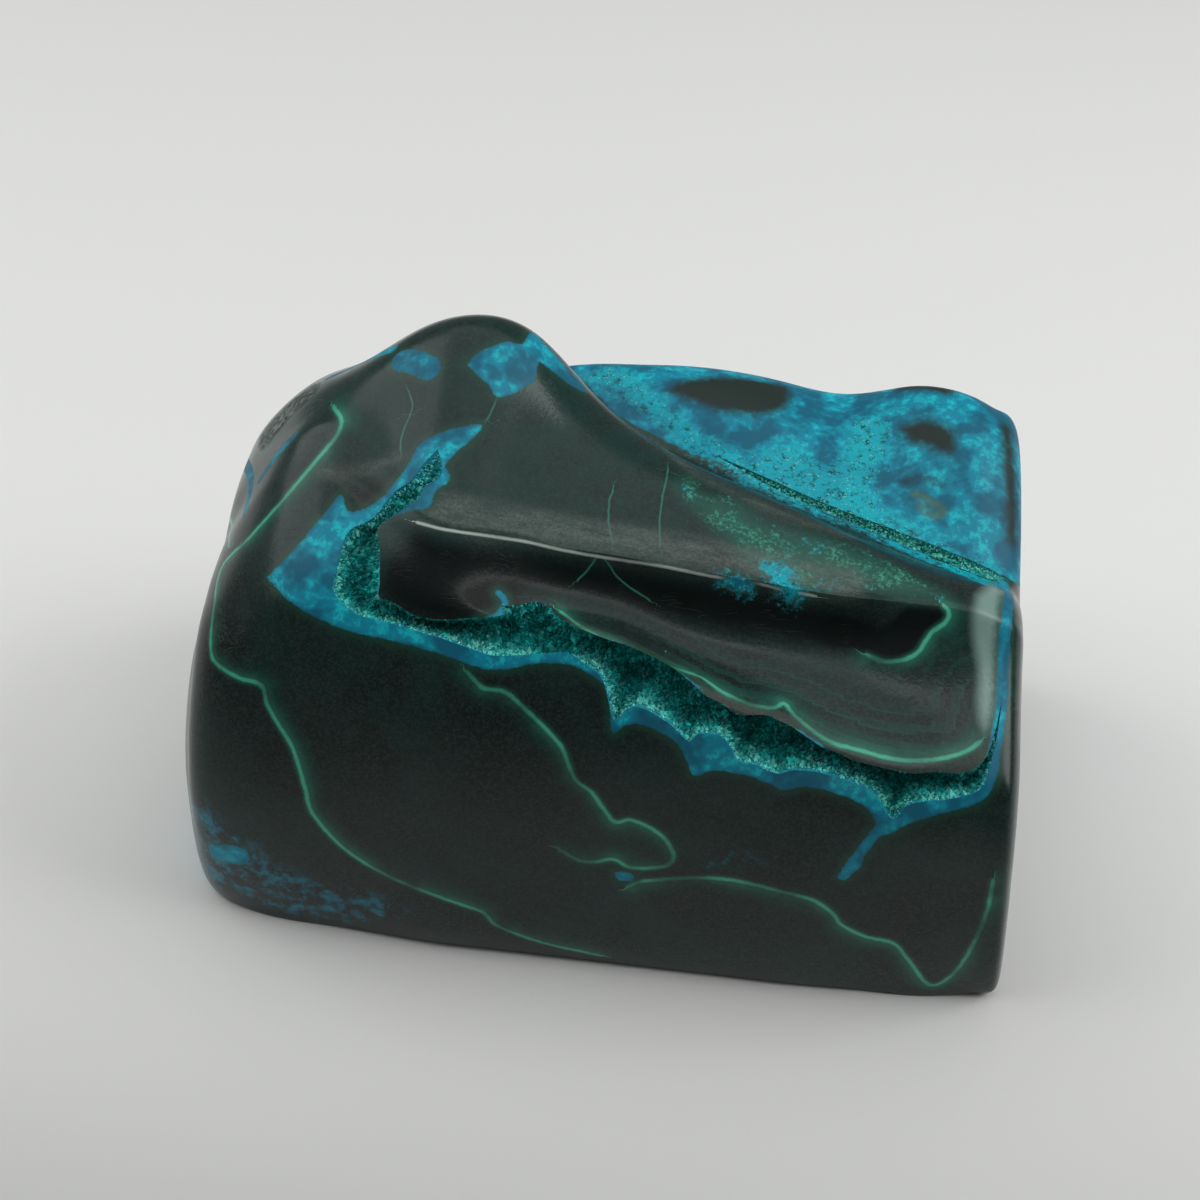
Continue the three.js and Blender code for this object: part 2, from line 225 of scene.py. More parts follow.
@dataclass
class Skin:
    """The polished skin of the stone, flat underneath.

    Attributes:
        rails: lines that run along the stone, in order round it, each a list of knots.
        stations: the places along x where the rails are read.
        left: the rings that close the left end.
        right: the rings that close the right end.
        fitting_passes: how often the control net is corrected.
        levels: how often the net is subdivided.
        ridge_rail: the rail along the ridge above the scoop.
        ridge_run: from where to where along x the ridge is sharp.
        ridge_crease: how sharp it is, from 0 to 1.
        flat_ends: the ends are thinned out before and past these x.
        flat_above: and only above this height.
        kept: the share of all faces that is left.
    """

    rails: list[list[Point3]] = field(default_factory=lambda: [
        [(-38, -23.6, 1.2), (-32, -25.2, 1.2), (-14, -26.7, 1.2), (24, -26.9, 1.2), (37, -26.4, 1.2)],
        [(-38, -24.6, 8), (-32, -26.2, 8), (-14, -27.6, 8), (24, -27.8, 8), (37, -27, 8)],
        [(-38, -24.4, 18), (-32, -25.8, 19), (-14, -27, 19), (24, -27.4, 17), (37, -26.6, 16)],
        [(-38, -21, 27), (-32, -22.8, 29.5), (-14, -25, 30), (4, -26, 28.5), (37, -26, 23)],
        [(-38, -16.7, 32.4), (-32, -18.2, 37), (-26, -19.2, 39.4), (-14, -20.8, 38.2), (-8, -21.6, 37.5),
         (4, -23.5, 35), (10, -24.8, 31.8), (17, -25.4, 29.6), (37, -24.8, 26.8)],
        [(-38, -13.2, 34.4), (-32, -13.9, 41), (-26, -14.5, 43.8), (-14, -18.7, 41.2), (-8, -19.6, 40.6),
         (4, -21.2, 40.2), (10, -22.6, 37.4), (17, -23.4, 34.6), (24, -23.8, 32.2), (31, -24.2, 30.4),
         (37, -23.2, 29.4)],
        [(-38, -10.7, 35.4), (-32, -10.9, 42.8), (-26, -11.8, 45.6), (-14, -17.2, 42.7), (-8, -17.6, 41.4),
         (4, -17.6, 39), (10, -18.2, 36.8), (17, -18.6, 34.8), (24, -18.8, 33.4), (31, -19, 32.4),
         (37, -18.6, 32.2)],
        [(-38, -8.2, 36), (-32, -8.1, 44.4), (-26, -9.2, 47), (-14, -15.7, 44.1), (-8, -15.6, 42.4),
         (4, -14.8, 39.2), (10, -14.8, 37.6), (17, -14.6, 36.2), (24, -14.4, 35.4), (37, -13.6, 35.6)],
        [(-38, -6.8, 36.2), (-32, -6.5, 45.2), (-26, -7.5, 48.1), (-14, -14.4, 45.4), (-8, -14, 43.7),
         (4, -12.9, 41), (10, -12.7, 40), (17, -12.1, 39), (24, -11.9, 38.1), (37, -11.2, 38.2)],
        [(-38, -5.2, 36.4), (-32, -4.9, 45.8), (-26, -5.6, 49), (-14, -13.4, 46.3), (-8, -12.8, 44.8),
         (4, -12, 42.9), (10, -11.8, 41.9), (17, -11.2, 40.8), (24, -11, 39.8), (37, -10.2, 39.2)],
        [(-38, -3.2, 37.4), (-32, -3, 46.3), (-26, -3.4, 49.9), (-14, -11.4, 47.6), (-8, -11, 46),
         (4, -10.4, 43.6), (10, -10.2, 42.5), (17, -9.8, 41.3), (24, -9.6, 40.2), (37, -8.9, 39.3)],
        [(-38, -0.2, 38.8), (-32, -0.2, 46.6), (-26, -0.2, 50.5), (-14, -2.2, 52.6), (-8, -3.8, 49.3),
         (-2, -4.8, 46.9), (4, -5.2, 45.1), (10, -5.8, 43.6), (17, -6.2, 42.2), (37, -7, 39.2)],
        [(-38, 5.3, 39.6), (-32, 5.3, 46.8), (-26, 5.8, 50.5), (-20, 6.6, 54.6), (-14, 7.2, 56.5),
         (-8, 8, 54.4), (-2, 6.8, 49), (4, 4.4, 45.7), (10, 1.9, 44.1), (17, -0.2, 42.8), (24, -1.9, 41),
         (31, -3, 39), (37, -3.8, 37.9)],
        [(-38, 10.8, 38.2), (-32, 12.3, 44.2), (-20, 14.3, 48.6), (-14, 14.6, 50.2), (-8, 14.2, 47),
         (-2, 12.2, 42), (4, 9.4, 40.4), (10, 7.2, 40.2), (17, 5, 39.4), (24, 3.2, 38.4), (37, 1, 36.4)],
        [(-38, 15.8, 31.8), (-32, 17.8, 38.8), (-20, 19.4, 42.4), (-14, 19.6, 43.4), (-8, 18.8, 42),
         (-2, 17.2, 41.6), (4, 15.8, 42.3), (10, 14.6, 42.7), (17, 13.4, 41.8), (24, 12.6, 40.4),
         (37, 10.3, 41.4)],
        [(-38, 19.2, 25), (-32, 21.8, 30), (-20, 23.7, 36), (-14, 23.6, 38.2), (-8, 22.8, 41),
         (-2, 21.9, 42.7), (10, 21.5, 43.1), (17, 21.3, 42), (22, 21.2, 39.9), (31, 21.1, 43),
         (37, 20.3, 43.2)],
        [(-38, 21.8, 20), (-32, 24.6, 23.4), (-14, 26.6, 29.5), (4, 26, 37), (31, 25.7, 36.5),
         (37, 24.6, 35.5)],
        [(-38, 22.8, 14), (-32, 25.8, 15.5), (-14, 27.8, 18.5), (31, 27.2, 22), (37, 26.4, 22)],
        [(-38, 22.6, 8), (-32, 25.6, 8), (-14, 27.4, 8.5), (31, 26.8, 9.5), (37, 25.8, 9.5)],
        [(-38, 21.2, 2), (-32, 24.2, 1.6), (-14, 26, 1.6), (31, 25.6, 1.6), (37, 24.6, 1.6)],
        [(-38, 15.8, -2), (-32, 17.8, -2.5), (37, 17.8, -2.5)],
        [(-38, -0.7, -3), (37, -0.7, -3)],
        [(-38, -18.2, -1.6), (-32, -20.7, -2), (37, -21.2, -2)],
    ])
    stations: tuple[float, ...] = (-38, -32, -26, -20, -14, -8, -2, 4, 10, 17, 24, 31, 37)
    left: EndCap = field(default_factory=lambda: EndCap(
        y=-2.2, z=9, lean=-0.5,
        rings=[(-43.4, 0, 0), (-43.4, 0.32, 0.32), (-42.7, 0.61, 0.61), (-40.7, 0.845, 0.845)]))
    right: EndCap = field(default_factory=lambda: EndCap(
        y=-1.7, z=17, lean=1,
        rings=[(41.6, 0.98, 0.95), (44, 0.92, 0.84), (44.3, 0.5, 0.5), (44.3, 0, 0)]))
    fitting_passes: int = 12
    levels: int = 4
    ridge_rail: int = 9
    ridge_run: Point2 = (-15, 32)
    ridge_crease: float = 0.55
    flat_ends: Point2 = (-42.4, 43.3)
    flat_above: float = 2.0
    kept: float = 0.9

    def section(self, x: float) -> np.ndarray:
        """The points of all rails at one x."""
        rows = [np.array(rail, dtype=float) for rail in self.rails]
        return np.array([[x, np.interp(x, r[:, 0], r[:, 1]), np.interp(x, r[:, 0], r[:, 2])] for r in rows])

    @staticmethod
    def closing(section: np.ndarray, cap: EndCap) -> list[np.ndarray]:
        """The rings of one end, each the section shrunk about the cap's centre.

        Args:
            section: the last section.
            cap: the rings that close it.

        Returns:
            The rings.
        """
        rings = []
        middle = np.array([0, cap.y, cap.z])
        for x, deep, tall in cap.rings:
            ring = middle + (section - middle) * (0, deep, tall)
            ring[:, 0] = x + cap.lean * (1 - ring[:, 2] / cap.z)
            rings.append(ring)
        return rings

    def control_net(self) -> np.ndarray:
        """Control points of the smooth surface that passes through all the rings.

        Returns:
            An array of rings, each with one point for each rail.
        """
        sections = [self.section(x) for x in self.stations]
        rings = np.array(
            self.closing(sections[0], self.left) + sections + self.closing(sections[-1], self.right)
        )
        controls = rings.copy()
        for _ in range(self.fitting_passes):
            along = controls.copy()
            along[1:-1] = (controls[:-2] + 4 * controls[1:-1] + controls[2:]) / 6
            reached = (np.roll(along, 1, axis=1) + 4 * along + np.roll(along, -1, axis=1)) / 6
            controls[2:-2] += rings[2:-2] - reached[2:-2]
        return controls

    def sharpen(self, cage: bpy.types.Object, ring: np.ndarray, rail: np.ndarray) -> None:
        """Creases the cage's edges along the ridge.

        Args:
            cage: the net before it is subdivided.
            ring: which ring each vertex belongs to.
            rail: which rail each vertex belongs to.
        """
        mesh = cage.data
        places = corners(cage)
        ends = np.array([tuple(edge.vertices) for edge in mesh.edges])
        along = (rail[ends] == self.ridge_rail).all(axis=1) & (ring[ends[:, 0]] != ring[ends[:, 1]])
        middle = places[ends, 0].mean(axis=1)
        sharp = along & (middle > self.ridge_run[0]) & (middle < self.ridge_run[1])
        crease = mesh.attributes.new("crease_edge", "FLOAT", "EDGE")
        crease.data.foreach_set("value", (sharp * self.ridge_crease).astype(np.float32))

    def build(self) -> bpy.types.Object:
        """Models the skin: a ball with one ring for each section, drawn onto the net and subdivided.

        Returns:
            The closed skin with a flat base.
        """
        net = self.control_net()
        bands = len(net) - 1
        start_clean()
        bpy.ops.mesh.primitive_uv_sphere_add(segments=len(self.rails), ring_count=bands, radius=1)
        skin = newest("stone")
        places = corners(skin) * MM
        ring = np.rint(np.arccos(np.clip(places[:, 2], -1, 1)) / math.pi * bands).astype(int)
        turn = np.arctan2(places[:, 1], places[:, 0]) / (2 * math.pi) * len(self.rails)
        rail = np.rint(turn).astype(int) % len(self.rails)
        place_corners(skin, net[ring, rail])
        self.sharpen(skin, ring, rail)
        rounding = skin.modifiers.new("rounding", "SUBSURF")
        rounding.levels = self.levels
        rounding.render_levels = self.levels
        bpy.ops.object.modifier_apply(modifier=rounding.name)
        outward(skin)
        bpy.ops.object.mode_set(mode="EDIT")
        bpy.ops.mesh.select_all(action="SELECT")
        bpy.ops.mesh.bisect(plane_co=(0, 0, 0), plane_no=(0, 0, 1), use_fill=True, clear_inner=True,
                            threshold=0.001 * MM)
        bpy.ops.object.mode_set(mode="OBJECT")
        self.thin_out(skin)
        outward(skin)
        return skin

    def thin_out(self, skin: bpy.types.Object) -> None:
        """Takes needless faces out of the flat ends, where the cage's rings crowd together.

        Args:
            skin: the closed skin, already flat underneath.
        """
        places = corners(skin)
        crowded = (places[:, 0] < self.flat_ends[0]) | (places[:, 0] > self.flat_ends[1])
        group = skin.vertex_groups.new(name="flat ends")
        crowded &= places[:, 2] > self.flat_above
        group.add(np.flatnonzero(crowded).tolist(), 1.0, "REPLACE")
        thinner = skin.modifiers.new("thinning", "DECIMATE")
        thinner.ratio = self.kept
        thinner.vertex_group = group.name
        bpy.ops.object.modifier_apply(modifier=thinner.name)


# ---------------------------------------------------------------- the vugs

@dataclass
class Vug:
    """An open cavity: a lens-shaped cutter between the two edges of its mouth.

    Attributes:
        name: what the cavity is called.
        lower: knots of the lower edge of the mouth.
        upper: knots of the upper edge, each across from a lower one.
        depths: how deep the cavity is, evenly from its first tip to its last.
        sections: cross-sections along the cutter.
        sides: points round each cross-section.
        reach: how far the cutter stands outside the skin.
        squareness: how squarely it does, 1 for an ellipse and 0 for a box.
        swell: how much wider than its mouth the cavity grows inside.
        lumps: how far its wall swells and dips.
        lump_size: how wide the lumps are.
        evening: over how many sections the way into the stone is evened out, an odd number.
    """

    name: str
    lower: list[Point3]
    upper: list[Point3]
    depths: tuple[float, ...]
    sections: int = 260
    sides: int = 20
    reach: float = 4.5
    squareness: float = 0.5
    swell: float = 0.1
    lumps: float = 0.35
    lump_size: float = 2.2
    evening: int = 31

    def edges(self) -> tuple[np.ndarray, np.ndarray]:
        """Both edges of the mouth as matching points, a pair for each section.

        Returns:
            The lower edge and the upper edge, one row for each section.
        """
        pairs = np.hstack([np.array(self.lower, dtype=float), np.array(self.upper, dtype=float)])
        rows = smooth_curve(pairs, self.sections)
        return rows[:, :3], rows[:, 3:]

    @staticmethod
    def laid(edge: np.ndarray, skin: BVHTree) -> np.ndarray:
        """An edge of the mouth with each point moved to the nearest place on the skin."""
        return np.array([skin.find_nearest(Vector(place))[0] for place in edge])

    def inward(self, middle: np.ndarray, skin: BVHTree) -> np.ndarray:
        """The way into the stone at each section, evened out along the mouth.

        Args:
            middle: the middle of the mouth at each section.
            skin: the search tree of the skin.

        Returns:
            A direction for each section.
        """
        ways = np.array([-skin.find_nearest(Vector(place))[1] for place in middle])
        kernel = np.hanning(self.evening) / np.hanning(self.evening).sum()
        spare = self.evening // 2
        padded = np.pad(ways, ((spare, spare), (0, 0)), mode="edge")
        return np.stack([np.convolve(column, kernel, mode="valid") for column in padded.T], axis=1)

    def build(self, skin: BVHTree) -> bpy.types.Object:
        """Models the cutter: a ball with a ring for each section, drawn onto lens-shaped rings.

        Args:
            skin: the search tree of the skin, which the mouth's edges are laid on.

        Returns:
            The closed cutter.
        """
        low, high = (self.laid(edge, skin) for edge in self.edges())
        inward = self.inward((low + high) / 2, skin)
        start_clean()
        bpy.ops.mesh.primitive_uv_sphere_add(segments=self.sides, ring_count=self.sections - 1, radius=1)
        cutter = newest("cutter")
        places = corners(cutter) * MM
        ring = np.rint(np.arccos(np.clip(places[:, 2], -1, 1)) / math.pi * (self.sections - 1)).astype(int)
        angle = np.arctan2(places[:, 1], places[:, 0])
        share = np.linspace(0, 1, self.sections)
        depth = np.interp(share, np.linspace(0, 1, len(self.depths)), self.depths)
        inside = np.sin(angle)
        across = 0.5 - 0.5 * np.cos(angle) * (1 + self.swell * np.maximum(inside, 0))
        body = low[ring] * (1 - across[:, None]) + high[ring] * across[:, None]
        out = self.reach * np.sin(math.pi * share[ring]) * np.abs(inside) ** self.squareness
        away = np.where(inside > 0, depth[ring] * inside, -out)
        body += inward[ring] * away[:, None]
        lump = np.array([noise.noise(Vector(place) / self.lump_size) for place in body])
        swelling = lump * self.lumps * np.clip(inside, 0, 1) * np.minimum(depth[ring], 1)
        body += inward[ring] * swelling[:, None]
        place_corners(cutter, body)
        outward(cutter)
        return cutter


FRONT_VUG = Vug(
    name="front",
    lower=[
        (-15, -6.3, 49.8), (-16.2, -7.8, 48.8), (-17.1, -9.3, 47.9), (-18.6, -10.3, 47.2),
        (-19.4, -11.2, 46.6), (-20.6, -12.5, 45.6), (-22.6, -13.6, 44.7), (-23.2, -15.6, 43.3),
        (-23.4, -18.2, 41), (-22.4, -19, 40.1), (-20.7, -19.6, 39.3), (-17, -20, 38.9),
        (-14.7, -20.4, 38.6), (-12.5, -20.8, 38.4), (-8.8, -21.4, 37.7), (-7.4, -21.6, 37.5),
        (-5.6, -21.6, 37.7), (-4.2, -21.6, 38), (-2.3, -21.6, 38.4), (-0.1, -21.6, 38.8),
        (1.9, -22.2, 37.9), (3.4, -22.8, 36.9), (4.7, -24.3, 33.2), (5.9, -23.9, 34.3), (7.1, -23.8, 34.7),
        (8.6, -24, 34.2), (10.4, -24.4, 33.2), (11.9, -24.8, 31.9), (12.9, -24.6, 32.8),
        (14.8, -24.5, 32.8), (16, -24.9, 31.6), (16.7, -25.2, 30.3), (18.3, -25.2, 30.1),
        (20.5, -25.3, 29.2), (22, -25.1, 29.7), (24.5, -25, 29.6), (27.7, -25, 28.7), (29.8, -25.1, 27.6),
        (31.7, -25.7, 25.1), (33.2, -25.2, 26.7), (35.5, -24.8, 27.2), (37.8, -24.3, 27.5),
        (39.7, -23.6, 28.1), (40.5, -21.6, 29.5), (41, -18.9, 31), (41.3, -15.8, 32.8),
    ],
    upper=[
        (-15, -6.3, 49.8), (-14.4, -7.7, 48.9), (-14.4, -8.9, 48.2), (-15.7, -9.9, 47.7), (-16, -11, 47.1),
        (-17.9, -12.1, 46.3), (-19.8, -13.2, 45.2), (-19.3, -14.9, 43.8), (-18.9, -17.4, 41.7),
        (-18.8, -18.4, 40.8), (-17.5, -18.6, 40.5), (-15, -19.4, 39.7), (-13.1, -19.6, 39.7),
        (-11.2, -19.7, 40), (-7.7, -19.8, 40.9), (-6.3, -19.4, 41.6), (-6.7, -18.5, 42.4),
        (-5.8, -18.3, 42.3), (-3.5, -17, 41.5), (-1.7, -17.5, 41.3), (0.5, -20, 41.2), (3.4, -20.9, 40.3),
        (6.2, -21, 39.6), (7.7, -21, 38.9), (9.9, -21.2, 37.9), (11.5, -22, 37.1), (13.1, -22.8, 36.2),
        (14.6, -23, 35.5), (16.4, -23.4, 34.6), (17.9, -23.1, 34.5), (19.3, -22.7, 34.3),
        (20.3, -22.9, 33.9), (21.3, -23, 33.5), (22.9, -23.5, 32.7), (24.5, -23.9, 31.9), (25.9, -24, 31.5),
        (27.4, -24.2, 30.9), (30.1, -24.3, 30.4), (32.9, -24.1, 29.8), (34.8, -23.6, 29.7),
        (36.4, -23.2, 29.5), (37.9, -22.9, 29.4), (39.3, -22.1, 29.6), (40.2, -20.7, 30.2),
        (40.8, -18.5, 31.3), (41.3, -15.8, 32.8),
    ],
    depths=(0, 1.9, 2.3, 2.9, 3.3, 3.5, 3.8, 4.2, 4.3, 4.4, 4.4, 4.4, 4.4, 4.4, 4.3, 4.2, 4, 3.4, 2, 0),
)

BACK_VUG = Vug(
    name="back",
    lower=[(41.6, 0.2, 34.9), (39.6, 0.7, 35.5), (35.6, 1.5, 36.7), (30.4, 3, 37.6), (24, 4.8, 38.5),
           (17.5, 7, 39.6), (11, 9.4, 40.5)],
    upper=[(41.6, 0.2, 34.9), (39.8, -1, 35.9), (35.8, -0.2, 36.9), (30.6, 1.3, 37.7), (24.2, 3.4, 38.6),
           (17.6, 5.9, 39.7), (11, 9.4, 40.5)],
    depths=(0, 1.4, 1.5, 1.4, 1.2, 0.9, 0),
    lumps=0.2,
    sections=110,
    sides=16,
)


# ---------------------------------------------------------------- the markings

class Mark(Enum):
    """What a stroke stands for. The value names the field that the stone's finish reads.

    The thread and thin-stroke fields are not drawn: they hold how far the nearest line is, and how far the
    nearest of the veins and the painted ridge highlight is.
    """

    CHRYSOCOLLA = "chrysocolla"
    LINE = "green_line"
    THREAD = "green_thread"
    VEIN = "vein"
    RIDGE_GLINT = "painted_glint_line"
    THIN_STROKE = "near_thin_stroke"
    OCHRE = "ochre"
    SHEEN = "grain_and_sheen"
    ISLAND = "island"
    SPECKLE = "speckle"
    CORE = "darkest_tone"
    MATRIX = "matrix"
    POROUS = "porous"
    END_REFLECTION = "painted_end_reflection"
    MIST = "mist"
    DARK = "painted_shade_and_notch"

    @property
    def plain(self) -> "Mark":
        """The mark that holds the plain distance to thin strokes of this kind."""
        return Mark.THREAD if self is Mark.LINE else Mark.THIN_STROKE


@dataclass(frozen=True)
class Stroke:
    """One curve on a sheet.

    Attributes:
        mark: what the stroke stands for.
        knots: the places that it passes through.
        closed: whether it is the outline of a patch.
        half_width: for an open stroke that stands for a narrow patch, half the patch's width.
    """

    mark: Mark
    knots: tuple[Point2, ...]
    closed: bool = False
    half_width: float = 0.0


@dataclass
class Sheet:
    """A flat drawing held square to one direction, whose strokes are laid on the skin along it.

    Attributes:
        azimuth: the side that the sheet is seen from, in degrees; 0 looks along +y.
        elevation: how far it is seen from above, in degrees.
        strokes: what is drawn on it.
        spacing: the distance between the laid points.
        longest: the longest piece that is still one stroke, in spacings; longer ones jump over a gap.
        away: how far from the stone the sheet is held.
        lift: how far off the skin it is tried whether the sheet is in sight.
        grazing: the least share of a normal that points at the sheet.
        across: the direction of the sheet's first axis.
        up: the direction of its second axis.
        toward: the direction that it faces.
    """

    azimuth: float
    elevation: float
    strokes: list[Stroke]
    spacing: float = 0.5
    longest: float = 6.0
    away: float = 200.0
    lift: float = 0.4
    grazing: float = 0.04
    across: np.ndarray = field(init=False)
    up: np.ndarray = field(init=False)
    toward: np.ndarray = field(init=False)

    def __post_init__(self) -> None:
        """Works out the sheet's three directions."""
        turn = math.radians(self.azimuth)
        self.across = np.array([math.cos(turn), math.sin(turn), 0])
        self.toward = np.array(toward_eye(self.azimuth, self.elevation))
        self.up = np.cross(self.toward, self.across)

    def flat(self, places: np.ndarray) -> np.ndarray:
        """Where places fall on the sheet."""
        return np.stack([places @ self.across, places @ self.up], axis=1)

    def laid(self, stroke: Stroke, skin: BVHTree) -> np.ndarray:
        """The straight pieces of a stroke on the skin.

        Args:
            stroke: the stroke to lay.
            skin: the search tree of the skin.

        Returns:
            The pieces' two end points, with those that miss the stone left out.
        """
        knots = np.array(stroke.knots)
        if stroke.closed:
            knots = np.vstack([knots, knots[:1]])
        length = np.linalg.norm(np.diff(knots, axis=0), axis=1).sum()
        line = smooth_curve(knots, max(int(length / self.spacing), 3))
        far = self.away * self.toward
        found = []
        for a, b in line:
            start = a * self.across + b * self.up + far
            place = skin.ray_cast(Vector(start), Vector(-self.toward))[0]
            found.append(np.full(3, np.nan) if place is None else np.array(place))
        pieces = chain(np.array(found))
        gaps = np.linalg.norm(pieces[:, 1] - pieces[:, 0], axis=1)
        return pieces[gaps < self.longest * self.spacing]

    def open_to(self, places: np.ndarray, normals: np.ndarray, skin: BVHTree) -> np.ndarray:
        """Which places can be seen from the sheet's side.

        Args:
            places: places on the skin.
            normals: their normals.
            skin: the search tree of the skin.

        Returns:
            For each place, whether nothing hides it.
        """
        seen = normals @ self.toward > self.grazing
        lifted = places + self.lift * normals
        toward = Vector(self.toward)
        for i in np.flatnonzero(seen):
            seen[i] = skin.ray_cast(Vector(lifted[i]), toward)[0] is None
        return seen


def within(outline: np.ndarray, places: np.ndarray) -> np.ndarray:
    """Which flat places lie inside a closed outline.

    Args:
        outline: the corners of the outline.
        places: where to test.

    Returns:
        For each place, whether it lies inside.
    """
    inside = np.zeros(len(places), dtype=bool)
    for (x0, y0), (x1, y1) in zip(outline, np.roll(outline, -1, axis=0)):
        if y0 == y1:
            continue
        crosses = (y0 > places[:, 1]) != (y1 > places[:, 1])
        inside ^= crosses & (places[:, 0] < x0 + (places[:, 1] - y0) / (y1 - y0) * (x1 - x0))
    return inside


def nearest(pieces: np.ndarray, places: np.ndarray, reach: float) -> tuple[np.ndarray, np.ndarray]:
    """How far places are from a broken line.

    Args:
        pieces: the end points of the line's straight pieces.
        places: where to measure from.
        reach: the largest distance that is worth measuring.

    Returns:
        The distances, no more than reach, and the index of the nearest piece, -1 beyond reach.
    """
    far = np.full(len(places), reach)
    index = np.full(len(places), -1)
    if len(pieces) == 0:
        return far, index
    low = pieces.reshape(-1, 3).min(axis=0) - reach
    high = pieces.reshape(-1, 3).max(axis=0) + reach
    near = np.flatnonzero(np.all((places > low) & (places < high), axis=1))
    some = places[near]
    best = np.full(len(near), reach * reach)
    which = np.full(len(near), -1)
    for i, (start, stop) in enumerate(pieces):
        step = stop - start
        share = np.clip((some - start) @ step / max(step @ step, 1e-12), 0, 1)
        square = ((some - start - share[:, None] * step) ** 2).sum(axis=1)
        closer = square < best
        best[closer] = square[closer]
        which[closer] = i
    far[near] = np.sqrt(best)
    index[near] = which
    return far, index


def whole_steps(pieces: np.ndarray, places: np.ndarray, reach: float) -> np.ndarray:
    """How far places are from a broken line in whole millimetres, rounded down."""
    return np.floor(nearest(pieces, places, reach)[0])


